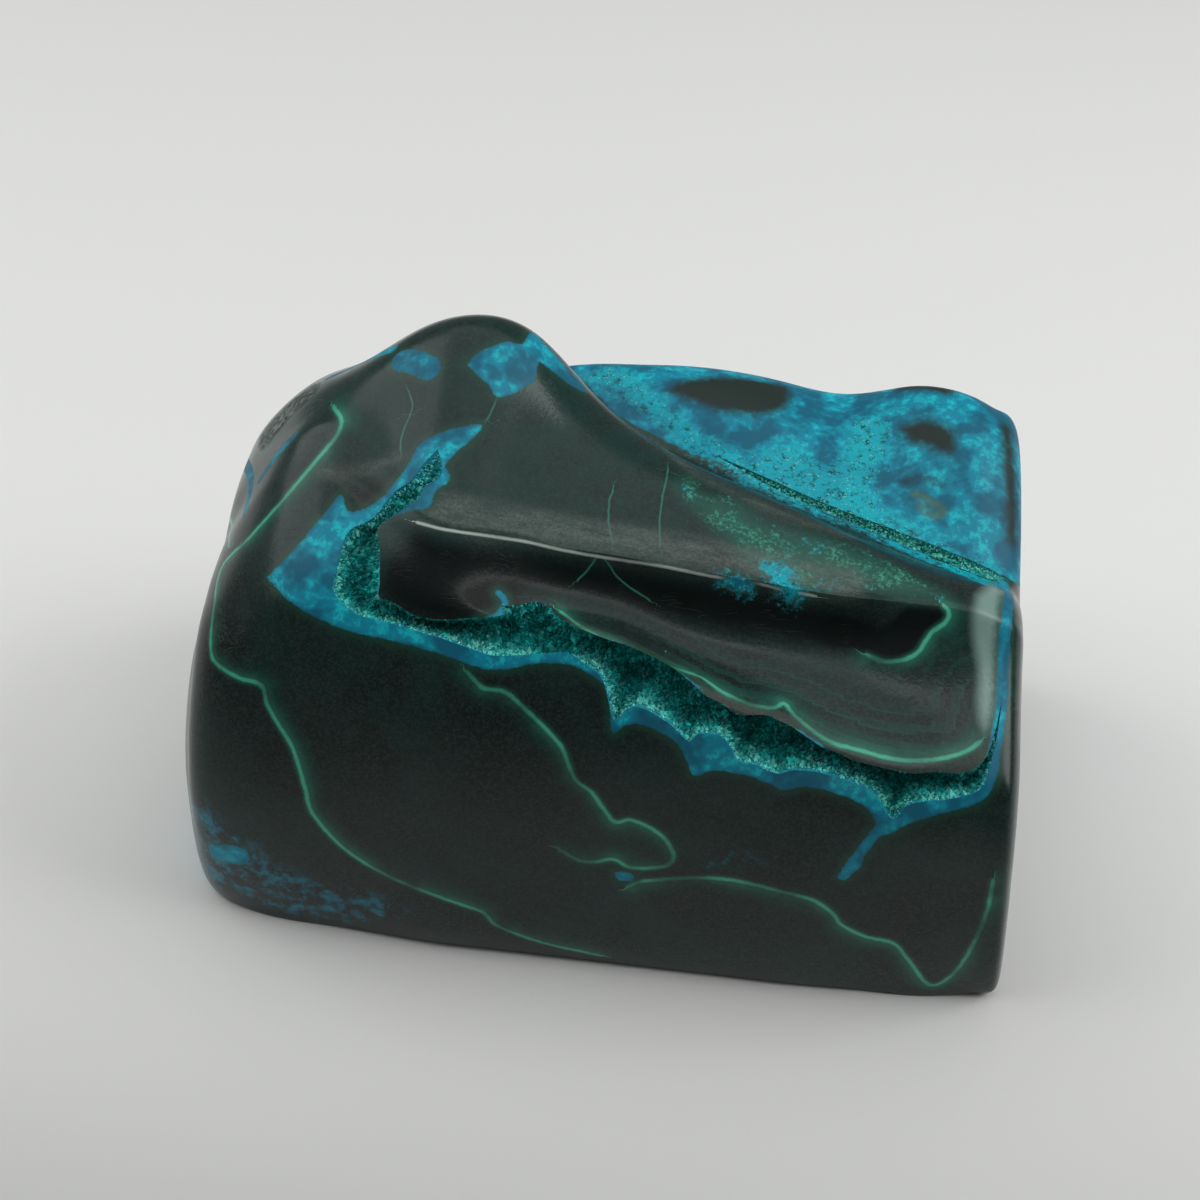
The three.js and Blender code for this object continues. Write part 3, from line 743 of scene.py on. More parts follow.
FRONT_SHEET = Sheet(azimuth=8, elevation=40, strokes=[
    # the chrysocolla that lines the front vug: its outer edge, back through the mouth, and its upper tail
    Stroke(Mark.CHRYSOCOLLA, closed=True, knots=(
        (-32.5, 23.1), (-29.6, 20.5), (-24.9, 18.2), (-20.2, 17.1), (-14.9, 15.7), (-10.6, 14.3),
        (-6, 14.9), (-3.2, 14.9), (-1.7, 14.3), (0.2, 13.1), (0.9, 11), (1.1, 8.3), (2.3, 9), (3.6, 9.2),
        (5.2, 8.7), (7.3, 7.3), (8.3, 5.5), (9, 4.1), (10.6, 4.7), (13.7, 4.3), (16, 3.5), (17.4, 2.8),
        (19.3, 3.2), (21.9, 2.7), (24.1, 1.9), (25.7, 0.8), (26.5, -0.8), (26.1, -2.2), (24.6, -3.9),
        (23.7, -6), (25.2, -5.1), (25.6, -3.2), (26.5, -1.9), (27.7, -1.5), (30.4, 0), (34.1, 1.1),
        (36.6, 2.2), (38, 5.5), (36.9, 5), (34, 3.4), (28.3, 2.6), (24, 4.4), (19.3, 6.3), (14, 8.4),
        (9.5, 10.8), (5.2, 13.4), (1, 16.1), (-3.7, 18.4), (-7.5, 18.8), (-11.3, 17.6), (-16.2, 18.3),
        (-20.6, 19.6), (-23.4, 21.6), (-23.4, 24.6), (-22.8, 26.8), (-20.8, 28.6), (-18.4, 29.5),
        (-16.4, 29.9), (-15.9, 31.5), (-14.5, 32.5), (-15, 34), (-14.3, 35), (-12.6, 36.6), (-11.4, 38.1),
        (-14.7, 37.5), (-17.6, 36.1), (-18.7, 34), (-21, 31), (-22.8, 29.8), (-24.5, 29.5), (-25.2, 31.3),
        (-26.3, 29.9), (-29.7, 25.8),
    )),
    Stroke(Mark.CHRYSOCOLLA, (
        (-11.6, 18.8), (-9.9, 19.4), (-9.2, 20.1), (-9.1, 20.9), (-9.7, 21.6)), half_width=0.3),
    Stroke(Mark.CHRYSOCOLLA, ((3.6, 16), (6.8, 14.4), (9.6, 12.5)), half_width=0.15),
    Stroke(Mark.CHRYSOCOLLA, ((18, 8.8), (19.6, 8), (21, 7)), half_width=0.15),
    # its stem down the front and its thin arm up the right end
    Stroke(Mark.CHRYSOCOLLA, (
        (27.4, 1.5), (26.8, -0.7), (25.8, -2.4), (24.7, -4.1), (23.7, -6)), half_width=0.5),
    Stroke(Mark.CHRYSOCOLLA, (
        (36.8, 4.4), (37.7, 7), (38.7, 11.3), (39, 15.1), (39.4, 19), (40.9, 22.5)), half_width=0.6),
    # the mound
    Stroke(Mark.CHRYSOCOLLA, closed=True, knots=(
        (-13.2, 44.3), (-11.9, 45.5), (-9.3, 46.7), (-7.9, 46.5), (-6.9, 48.1), (-5.4, 46.7), (-4, 45.2),
        (-1.2, 42.1), (-2.6, 42.4), (-4.8, 43.9), (-6.3, 44.8), (-6.5, 42.9), (-8.4, 41.5), (-10.2, 40.9),
        (-10.9, 42.1), (-12.1, 43.1))),
    Stroke(Mark.CHRYSOCOLLA, ((-19.8, 44.9), (-18.4, 44.6), (-17, 43.9)), half_width=1.3),
    Stroke(Mark.CHRYSOCOLLA, ((-28, 44), (-24, 45.6), (-21, 46.3)), half_width=0.7),
    Stroke(Mark.CHRYSOCOLLA, ((-30.5, 37.5), (-32.5, 35.5), (-34.5, 33)), half_width=0.45),
    # the foot of the left end and three small eyes
    Stroke(Mark.CHRYSOCOLLA, closed=True, knots=(
        (-41, -4.6), (-38, -4.4), (-36.4, -5), (-36.6, -6.4), (-38.4, -6.6), (-40.6, -6))),
    Stroke(Mark.MIST, closed=True, knots=(
        (-43, 1.5), (-41, 1), (-39, -2), (-36, -4), (-33, -6.5), (-29, -8.2), (-24, -9.4), (-20, -12),
        (-26, -13), (-34, -12), (-43, -8))),
    Stroke(Mark.CHRYSOCOLLA, ((2, -6.5), (2.8, -6.6)), half_width=0.6),
    Stroke(Mark.MIST, ((11, -5), (12.6, -4.5), (14.4, -4.4)), half_width=0.9),
    Stroke(Mark.CHRYSOCOLLA, ((12.8, 22.8), (14.4, 22.3)), half_width=0.5),
    # everything behind the slab
    Stroke(Mark.CHRYSOCOLLA, closed=True, knots=(
        (-1.5, 44.4), (0.4, 42.4), (1.8, 40.9), (5, 38.9), (10.5, 36), (16.6, 34.1), (23.9, 31.4), (30.2, 29),
        (34.5, 26.2), (40.2, 23.7), (47, 22), (50, 60), (-4, 60), (-3.4, 46.6))),
    Stroke(Mark.ISLAND, closed=True, knots=(
        (7, 43.4), (8.6, 44.5), (12, 45), (16, 44.9), (20.4, 44), (20.4, 42.4), (19.4, 41.2), (17, 40.5),
        (14, 40.8), (11.6, 41.3), (9.4, 42.2))),
    Stroke(Mark.ISLAND, closed=True, knots=(
        (31.4, 39), (33, 39.8), (34.6, 40), (37, 38.7), (37, 36.9), (36.2, 36), (34, 37), (32.4, 37.6))),
    Stroke(Mark.ISLAND, ((32.8, 43.9), (34.6, 43.9), (37, 43.3)), half_width=1.0),
    Stroke(Mark.ISLAND, ((42.9, 38.9), (42.7, 33.4), (42.3, 27.1)), half_width=0.8),
    Stroke(Mark.ISLAND, ((31.6, 33.2), (33.4, 33.5), (35.3, 32.9)), half_width=0.25),
    # the porous crust along the valley
    Stroke(Mark.POROUS, closed=True, knots=(
        (-1.3, 45.1), (0.6, 46.5), (3.4, 45.7), (4.8, 43.3), (7.2, 41.4), (10.5, 38.7), (13.4, 36.9),
        (15.4, 35.4), (17.6, 36.9), (20, 37), (22.2, 35.4), (24.7, 35.4), (26.1, 38.1), (27.4, 40.2),
        (29.8, 40.3), (30.8, 38.2), (29.7, 35.4), (28.3, 33), (29.5, 30.2), (31.3, 28.6), (33.7, 27.3),
        (36.4, 25.8), (39.6, 24.4), (40.9, 23.2), (38.1, 22.5), (34.2, 24.3), (30.3, 26.1), (26.5, 28),
        (22.5, 29.6), (18.5, 31.4), (14.5, 33.5), (11, 36), (7.2, 39), (3.7, 42), (0.8, 43.9))),
    Stroke(Mark.POROUS, closed=True, knots=(
        (16, 24.6), (17.7, 24.2), (18.6, 23.1), (19.3, 21.5), (18.4, 20.7), (17.2, 21.9), (16.2, 23.3))),
    Stroke(Mark.POROUS, ((12.3, 22.7), (13.1, 22.4), (14, 22.1)), half_width=0.4),
    # painted shade: a dark band under the ridge, over the steep wall and the nose
    Stroke(Mark.DARK, closed=True, knots=(
        (-20, 25.5), (-17.7, 27.6), (-15, 26.9), (-11.5, 26.5), (-6.8, 25.7), (-3, 25), (0.4, 24.4),
        (5.7, 23.5), (10.8, 22.6), (15.4, 21.8), (17.8, 21.2), (20.9, 20.5), (24.4, 20), (27.1, 19.2),
        (26.6, 17.1), (22.2, 16.3), (17.4, 17), (13.5, 17.6), (9.6, 18.2), (4.8, 19.3), (0.9, 20.3),
        (-2.9, 21.4), (-6.8, 21.8), (-9.2, 20.6), (-12.4, 18.9), (-16.2, 18.9), (-19.6, 20.2),
        (-21.6, 22.4))),
    # painted highlight: a thin bright line along the ridge
    Stroke(Mark.RIDGE_GLINT, (
        (-17.7, 28.4), (-15, 27.7), (-11.5, 27.2), (-7.5, 26.6), (-3, 25.6), (0.5, 25), (5.7, 24.2),
        (10.8, 23.2), (15.3, 22.5), (17.7, 21.9), (20.8, 21.3))),
    # painted sheen above the ridge, along the slab's crest and on the shoulder
    Stroke(Mark.SHEEN, (
        (-15.5, 29.7), (-11, 28.9), (-4, 27.6), (2, 26.7), (8, 25.8), (14, 24.7), (20, 23.5), (24, 22.6)),
        half_width=2.3),
    Stroke(Mark.SHEEN, (
        (2.9, 39.9), (6, 36.9), (9.8, 33.5), (16.1, 30.3), (22, 28.1), (27.3, 26.7),
        (33, 24.3)), half_width=0.9),
    Stroke(Mark.SHEEN, ((-27.2, 33.6), (-23.4, 33.4), (-20, 34.8)), half_width=1.0),
    # a small dark notch of the stone itself on the shoulder, drawn with the painted shade's mark
    Stroke(Mark.DARK, ((-24.4, 31.6), (-22.7, 31), (-21.3, 31.1)), half_width=0.9),
    Stroke(Mark.OCHRE, ((32.5, 31.9), (34, 31.2), (35.3, 30), (34.3, 29.6), (32.9, 30.4)), half_width=0.15),
    # painted reflection: a pale gleam on the right end
    Stroke(Mark.END_REFLECTION, closed=True, knots=(
        (36.8, 21.3), (38.9, 22.5), (40.4, 22.1), (39.5, 19.8), (39.4, 16.1), (39, 12.2), (38.2, 9.9),
        (36.8, 8.5), (36.4, 10.9), (36.6, 14.2), (36.2, 17.1), (36.1, 19.5))),
    # light green lines, each with its soft side on the left of the way it is drawn
    Stroke(Mark.LINE, (
        (-26.7, 40.3), (-25.6, 38.6), (-26.3, 36.7), (-31, 31), (-35, 27), (-38.2, 24.2), (-38.6, 20),
        (-38.8, 16.6), (-38.3, 14.8), (-35.4, 13.2), (-33.2, 12.6), (-32.7, 10.5), (-30.4, 6.2), (-29.4, 1.8),
        (-29.1, -0.2), (-26.2, -4.1), (-21.3, -7.4), (-14.4, -10.2), (-12, -11.1), (-10.9, -12.5),
        (-6.3, -14.5), (0, -16))),
    Stroke(Mark.LINE, (
        (-4, -3.9), (-1.5, -5.1), (1.3, -4.7), (3, -5.6), (6.5, -5.3), (7.2, -4.1), (5.8, -1.9), (2.8, -0.4),
        (1.4, -0.8), (-0.8, 2.3), (-2.4, 3.6), (-3.9, 7.1), (-7.2, 10.5), (-9.2, 12.2), (-11.2, 12.5),
        (-12.6, 14))),
    Stroke(Mark.LINE, (
        (38.1, -6.3), (38, -9.6), (37, -14), (35.6, -17.2), (33.6, -18.4), (30.8, -15), (29.3, -13.4),
        (26.5, -12.7), (23.9, -11.3), (23.1, -10.2), (21.1, -8.7), (18, -7.8), (13.8, -6.8), (9.8, -6.5),
        (3.8, -7.1), (2.8, -7.7))),
    Stroke(Mark.LINE, (
        (-3.8, 19.8), (-1, 17.9), (1.8, 16.4), (5.6, 14.9), (9.4, 13.7), (11.4, 12.3), (14.4, 11),
        (16.6, 10.7), (17.5, 11.2), (18.1, 10.3), (21.3, 7.7), (24.3, 6.8), (28.3, 5.8), (31.4, 5.8),
        (34.5, 6.4), (36.2, 7.4))),
    Stroke(Mark.VEIN, ((-11.4, 38.2), (-10.7, 39.4), (-10.2, 40.9))),
    Stroke(Mark.VEIN, ((-19, 41.5), (-18.5, 40), (-19.5, 37), (-19.5, 35.5))),
    Stroke(Mark.LINE, (
        (33.2, 20.3), (33.7, 19.6), (33.2, 18.6), (32, 17.8), (31.4, 16.9), (30.5, 15.7), (29.1, 15.1),
        (27.4, 15), (25.9, 15.6))),
    Stroke(Mark.VEIN, ((6.8, 34.1), (6.5, 32.7), (6.1, 30.8), (5.8, 28.8), (5.8, 26.2))),
    Stroke(Mark.VEIN, ((1.3, 31.9), (0.9, 30.7), (0.8, 28.7), (1.1, 26.7))),
    Stroke(Mark.VEIN, ((4.8, 20.9), (1.9, 22.9), (0, 25.2), (-1.2, 23.8), (-2.2, 22.9))),
    Stroke(Mark.SPECKLE, closed=True, knots=(
        (7.5, 32.5), (9, 33.1), (9.9, 31.5), (12.1, 31.1), (13.9, 30.3), (15.8, 28.8), (18.7, 27.8),
        (21.2, 27.4), (24.1, 26.4), (27.5, 24.9), (30.7, 23.1), (33.4, 21.3), (31.9, 20.9), (29, 21.3),
        (26.2, 22.1), (23.8, 22.4), (21.8, 21.9), (19.3, 20.9), (17.9, 21.9), (16, 23.3), (14.1, 24.8),
        (12.7, 26.3), (11.3, 27.8), (9.8, 29.3), (8.4, 30.8))),
    Stroke(Mark.CORE, closed=True, knots=(
        (20, 17.6), (23.2, 16.1), (24.9, 16.2), (26.6, 15.6), (28.5, 15.2), (30.3, 15.9), (31, 17.1),
        (32, 18), (33.4, 19), (33.3, 19.9), (31.3, 20.3), (29.4, 20.1), (28, 18.8), (26.3, 18.1),
        (23, 19.4))),
    Stroke(Mark.MATRIX, closed=True, knots=(
        (-36, 38), (-34.4, 40), (-32, 42), (-29.4, 43.4), (-29.4, 42), (-31.6, 40), (-33.4, 38),
        (-35, 36.6))),
])

BACK_SHEET = Sheet(azimuth=188, elevation=20, strokes=[
    Stroke(Mark.CHRYSOCOLLA, closed=True, knots=(
        (-50, 60), (-50, 14), (-41, 15), (-36, 10), (-31, 12.5), (-26, 6), (-20, 9), (-15, 15.5), (-9, 17),
        (-5, 22), (-1, 25.5), (3, 30), (2.6, 36), (4, 43), (4, 60))),
    Stroke(Mark.CHRYSOCOLLA, closed=True, knots=(
        (21, -10), (22.5, -5.6), (27, -4), (31, -5.4), (35.5, -4.4), (37, -10))),
    Stroke(Mark.CHRYSOCOLLA, ((9, 4), (13, 6.4), (17, 6)), half_width=0.5),
    Stroke(Mark.ISLAND, closed=True, knots=(
        (-33, 21), (-29, 23.4), (-24, 22.6), (-21.4, 19.4), (-25, 16.8), (-30, 17.4))),
    Stroke(Mark.ISLAND, closed=True, knots=((-13, 26), (-9, 27.4), (-6.6, 25), (-9.4, 22.6), (-12.6, 23.2))),
    Stroke(Mark.LINE, (
        (-43, 4), (-38, 5.4), (-33, 1.4), (-27, -1), (-21, 1.6), (-16, 8), (-10, 10.4), (-4, 13), (3, 12.6),
        (8, 16.4), (15, 18), (20, 14.6), (27, 13.4), (33, 17), (38, 16.4), (43, 12))),
    Stroke(Mark.LINE, (
        (40, -3), (36, 0.4), (31, 4), (26, 2), (20, 5), (14, 2.4), (8, -2.4), (1, 0), (-6, -3), (-12, -8))),
    Stroke(Mark.LINE, ((8, 44), (13, 38.6), (16, 32), (22, 28), (30, 27), (36, 24))),
    Stroke(Mark.VEIN, ((20, 40), (23, 34), (22, 28))),
    Stroke(Mark.VEIN, ((-28, -1), (-27, -5), (-29, -9))),
])

LEFT_SHEET = Sheet(azimuth=270, elevation=10, strokes=[
    Stroke(Mark.LINE, ((-26, 9), (-20, 12), (-15, 10), (-10, 15), (-7, 21), (-1, 23.4), (3, 29), (9, 31))),
    Stroke(Mark.LINE, ((19, 2), (12, 4.6), (7, 2.6), (1, 5.4), (-5, 2), (-9, -3))),
    Stroke(Mark.CHRYSOCOLLA, closed=True, knots=(
        (25, -4), (20, 1.6), (14, -0.4), (9, -3), (8, -8), (24, -8))),
    Stroke(Mark.CHRYSOCOLLA, ((-3, 32), (2, 34.4), (7, 34)), half_width=0.6),
])

RIGHT_SHEET = Sheet(azimuth=90, elevation=10, strokes=[
    Stroke(Mark.CHRYSOCOLLA, closed=True, knots=(
        (-6, 60), (-5, 34), (0, 30.4), (5, 31.4), (9, 26), (14, 24.4), (19, 19), (26, 14), (40, 14),
        (40, 60))),
    Stroke(Mark.LINE, ((-24, 8), (-18, 12.6), (-11, 11), (-5, 16.4), (3, 18), (9, 13.4), (16, 14), (24, 8))),
    Stroke(Mark.LINE, ((20, 1), (12, 4), (6, 2.4), (-2, 5.4), (-9, 3), (-17, 0))),
    Stroke(Mark.ISLAND, closed=True, knots=((8, 33), (12, 36), (16.4, 34.6), (17, 30), (12, 29.4))),
])


@dataclass
class Markings:
    """All the strokes, turned into fields of distances over the stone.

    Attributes:
        sheets: the drawings, the one that decides first in front.
        reach: the largest distance that a field holds.
    """

    sheets: list[Sheet] = field(default_factory=lambda: [FRONT_SHEET, BACK_SHEET, LEFT_SHEET, RIGHT_SHEET])
    reach: float = 12.0

    def fields(self, places: np.ndarray, normals: np.ndarray, skin: BVHTree) -> dict[Mark, np.ndarray]:
        """Works out how far every place is from every kind of mark.

        Args:
            places: the stone's vertices.
            normals: their normals.
            skin: the search tree of the uncut skin.

        Returns:
            A field for each mark: positive inside patches and on the soft side of lines. The thread and
                thin-stroke fields hold plain distances to thin strokes.
        """
        fields = {mark: np.full(len(places), -self.reach) for mark in Mark}
        for plain in (Mark.THREAD, Mark.THIN_STROKE):
            fields[plain] = np.full(len(places), self.reach)
        free = np.ones(len(places), dtype=bool)
        for sheet in self.sheets:
            seen = sheet.open_to(places, normals, skin) & free
            free &= ~seen
            flat = sheet.flat(places)
            for stroke in sheet.strokes:
                pieces = sheet.laid(stroke, skin)
                away, index = nearest(pieces, places, self.reach)
                known = fields[stroke.mark]
                if stroke.closed:
                    outline = smooth_curve(np.vstack([stroke.knots, stroke.knots[:1]]), OUTLINE_POINTS)
                    signed = np.where(within(outline, flat), away, -away)
                    known[:] = np.maximum(known, np.where(seen, signed, -self.reach))
                elif stroke.half_width:
                    known[:] = np.maximum(known, stroke.half_width - away)
                else:
                    side = self.sided(away, index, sheet.flat(pieces.reshape(-1, 3)), flat)
                    known[:] = self.nearer(known, side)
                    plain = stroke.mark.plain
                    fields[plain] = np.minimum(fields[plain], away)
        return fields

    @staticmethod
    def sided(away: np.ndarray, index: np.ndarray, ends: np.ndarray, flat: np.ndarray) -> np.ndarray:
        """Gives distances a sign: positive on the left of the way the stroke is drawn.

        Args:
            away: the plain distances.
            index: the nearest piece of the stroke to each place.
            ends: the pieces' end points on the sheet.
            flat: the places on the sheet.

        Returns:
            The distances with their signs.
        """
        start = ends[0::2][index]
        step = ends[1::2][index] - start
        side = step[:, 0] * (flat[:, 1] - start[:, 1]) - step[:, 1] * (flat[:, 0] - start[:, 0])
        return np.where(side > 0, away, -away)

    @staticmethod
    def nearer(known: np.ndarray, other: np.ndarray) -> np.ndarray:
        """Whichever of two signed distances is the smaller."""
        return np.where(np.abs(other) < np.abs(known), other, known)


# ---------------------------------------------------------------- writing materials

class Shade:
    """Writes nodes into one node tree. Lengths given to it are millimetres."""

    def __init__(self, tree: bpy.types.NodeTree) -> None:
        """Keeps the tree to write into."""
        self.tree = tree

    def node(self, kind: str, **settings: object) -> bpy.types.Node:
        """Adds a node and sets its properties."""
        made = self.tree.nodes.new("ShaderNode" + kind)
        for name, value in settings.items():
            setattr(made, name, value)
        return made

    def feed(self, socket: bpy.types.NodeSocket, value: object) -> None:
        """Links a socket to another, or sets its value."""
        if isinstance(value, bpy.types.NodeSocket):
            self.tree.links.new(value, socket)
        elif isinstance(value, tuple) and len(value) == 3 and socket.type == "RGBA":
            socket.default_value = (*value, 1)
        else:
            socket.default_value = value

    def calc(self, operation: str, *values: object) -> bpy.types.NodeSocket:
        """Arithmetic on numbers and sockets.

        Args:
            operation: what the node does.
            values: what it is fed, in order.

        Returns:
            The result.
        """
        made = self.node("Math", operation=operation)
        for socket, value in zip(made.inputs, values):
            self.feed(socket, value)
        return made.outputs[0]

    def times(self, *values: object) -> bpy.types.NodeSocket:
        """The product of two or more numbers and sockets.

        Args:
            values: what is multiplied, in order.

        Returns:
            The product.
        """
        product = values[0]
        for value in values[1:]:
            product = self.calc("MULTIPLY", product, value)
        return product

    def ease(self, value: object, start: object, stop: object, low: float = 0,
             high: float = 1) -> bpy.types.NodeSocket:
        """A smooth step from low to high while the value goes from start to stop.

        Args:
            value: what is stepped.
            start: where the step starts.
            stop: where it ends, which may be lower.
            low: the result up to the start.
            high: the result past the end.

        Returns:
            The result.
        """
        made = self.node("MapRange", interpolation_type="SMOOTHSTEP")
        for socket, given in zip(made.inputs, (value, start, stop, low, high)):
            self.feed(socket, given)
        return made.outputs[0]

    def mix(self, share: object, first: object, second: object) -> bpy.types.NodeSocket:
        """Mixes two colours.

        Args:
            share: how much of the second colour shows.
            first: the colour at 0.
            second: the colour at 1.

        Returns:
            The mixed colour.
        """
        made = self.node("Mix", data_type="RGBA", blend_type="MIX", clamp_factor=True)
        self.feed(made.inputs[0], share)
        self.feed(made.inputs[6], first)
        self.feed(made.inputs[7], second)
        return made.outputs[2]

    def where(self) -> bpy.types.NodeSocket:
        """The place on the piece, in object coordinates."""
        return self.node("TexCoord").outputs["Object"]

    def read(self, name: str) -> bpy.types.NodeSocket:
        """A field stored on the mesh."""
        return self.node("Attribute", attribute_name=name).outputs["Fac"]

    def noise(self, place: object, size: float, detail: float = 2, roughness: float = 0.5, warp: float = 0,
              stretch: Point3 = (1, 1, 1)) -> bpy.types.NodeSocket:
        """Soft noise whose features are about one size across, in millimetres.

        Args:
            place: where it is read.
            size: how wide its features are.
            detail: how many finer layers it has.
            roughness: how strong they are.
            warp: how far it is bent by itself.
            stretch: how much closer the features lie along each axis.

        Returns:
            The noise, from 0 to 1.
        """
        if stretch != (1, 1, 1):
            mapping = self.node("Mapping")
            self.feed(mapping.inputs["Vector"], place)
            mapping.inputs["Scale"].default_value = stretch
            place = mapping.outputs[0]
        made = self.node("TexNoise")
        self.feed(made.inputs["Vector"], place)
        made.inputs["Scale"].default_value = 1 / (size * MM)
        made.inputs["Detail"].default_value = detail
        made.inputs["Roughness"].default_value = roughness
        made.inputs["Distortion"].default_value = warp
        return made.outputs[0]

    def place_group(self, group: bpy.types.NodeTree, **values: object) -> bpy.types.Node:
        """Places a node group and feeds its inputs by name.

        Args:
            group: the node group.
            values: what its inputs are fed, by name.

        Returns:
            The placed group.
        """
        made = self.node("Group", node_tree=group)
        for name, value in values.items():
            self.feed(made.inputs[name.replace("_", " ").capitalize()], value)
        return made


def new_group(name: str, takes: dict[str, str], gives: dict[str, str]) -> tuple[Shade, dict, Callable]:
    """Starts a node group.

    Args:
        name: the group's name.
        takes: its inputs, each a name and a socket kind.
        gives: its outputs.

    Returns:
        The writer, the input sockets by name, and a function that feeds the outputs by name.
    """
    tree = bpy.data.node_groups.new(name, "ShaderNodeTree")
    for sockets, way in ((takes, "INPUT"), (gives, "OUTPUT")):
        for label, kind in sockets.items():
            tree.interface.new_socket(name=label, in_out=way, socket_type="NodeSocket" + kind)
    shade = Shade(tree)
    entry = tree.nodes.new("NodeGroupInput")
    leave = tree.nodes.new("NodeGroupOutput")

    def give(label: str, value: object) -> None:
        """Feeds one output of the group."""
        shade.feed(leave.inputs[label], value)

    return shade, {label: entry.outputs[label] for label in takes}, give


class Effects:
    """The effects that several finishes share, each a node group that is built once."""

    def __init__(self) -> None:
        """Builds the groups."""
        self.ragged = self.build_ragged()
        self.speckle = self.build_speckle()
        self.relief = self.build_relief()

    @staticmethod
    def build_ragged() -> bpy.types.NodeTree:
        """A mask from a distance, its edge broken up by noise.

        Returns:
            The node group.
        """
        shade, given, give = new_group(
            "ragged edge",
            {"Place": "Vector", "Distance": "Float", "Ragged": "Float", "Soft": "Float"},
            {"Mask": "Float"},
        )
        coarse = shade.calc("SUBTRACT", shade.noise(given["Place"], 0.9, detail=4, roughness=0.75), 0.5)
        push = shade.times(coarse, 2.0, given["Ragged"])
        moved = shade.calc("ADD", given["Distance"], push)
        give("Mask", shade.ease(moved, shade.times(given["Soft"], -1.0), given["Soft"]))
        return shade.tree

    @staticmethod
    def build_speckle() -> bpy.types.NodeTree:
        """Fine crystalline speckle: a value for each tiny cell, and a mask of the brightest ones.

        Returns:
            The node group.
        """
        shade, given, give = new_group(
            "speckle", {"Place": "Vector", "Size": "Float", "Share": "Float"},
            {"Value": "Float", "Mask": "Float"},
        )
        cells = shade.node("TexVoronoi", feature="F1")
        shade.feed(cells.inputs["Vector"], given["Place"])
        shade.feed(cells.inputs["Scale"], shade.calc("DIVIDE", 1 / MM, given["Size"]))
        split = shade.node("SeparateColor")
        shade.feed(split.inputs[0], cells.outputs["Color"])
        value = split.outputs[0]
        chosen = shade.calc("LESS_THAN", split.outputs[1], given["Share"])
        round_cell = shade.ease(cells.outputs["Distance"], 0.5, 0.2)
        give("Value", value)
        give("Mask", shade.times(chosen, round_cell))
        return shade.tree

    @staticmethod
    def build_relief() -> bpy.types.NodeTree:
        """The height of a polished surface: slow waves, fine grain and thin scratches.

        Returns:
            The node group.
        """
        shade, given, give = new_group(
            "polished relief",
            {"Place": "Vector", "Waves": "Float", "Grain": "Float", "Scratches": "Float"},
            {"Height": "Float"},
        )
        waves = shade.times(shade.noise(given["Place"], 5, detail=1), given["Waves"])
        grain = shade.times(shade.noise(given["Place"], 0.42, detail=2, roughness=0.6), given["Grain"])
        streak = shade.noise(given["Place"], 0.5, detail=1, warp=0.3, stretch=(0.06, 1, 1))
        scratch = shade.ease(shade.calc("ABSOLUTE", shade.calc("SUBTRACT", streak, 0.5)), 0.02, 0.0)
        patch = shade.ease(shade.noise(given["Place"], 4, detail=2), 0.55, 0.68)
        cut = shade.times(scratch, patch, given["Scratches"])
        give("Height", shade.calc("SUBTRACT", shade.calc("ADD", waves, grain), cut))
        return shade.tree


def bare_material(name: str) -> tuple[bpy.types.Material, Shade, bpy.types.Node]:
    """A new material with its Principled shader at the plain end of its tree.

    Args:
        name: the material's name.

    Returns:
        The material, the writer of its tree and its shader.
    """
    material = bpy.data.materials.new(name)
    material.use_nodes = True
    shader = material.node_tree.nodes["Principled BSDF"]
    return material, Shade(material.node_tree), shader


def add_bump(shade: Shade, shader: bpy.types.Node, height: bpy.types.NodeSocket) -> None:
    """Feeds a height in millimetres to a shader's normal.

    Args:
        shade: the writer of the material's tree.
        shader: the shader.
        height: the height.
    """
    bump = shade.node("Bump")
    bump.inputs["Strength"].default_value = 1
    bump.inputs["Distance"].default_value = MM
    shade.feed(bump.inputs["Height"], height)
    shade.feed(shader.inputs["Normal"], bump.outputs[0])


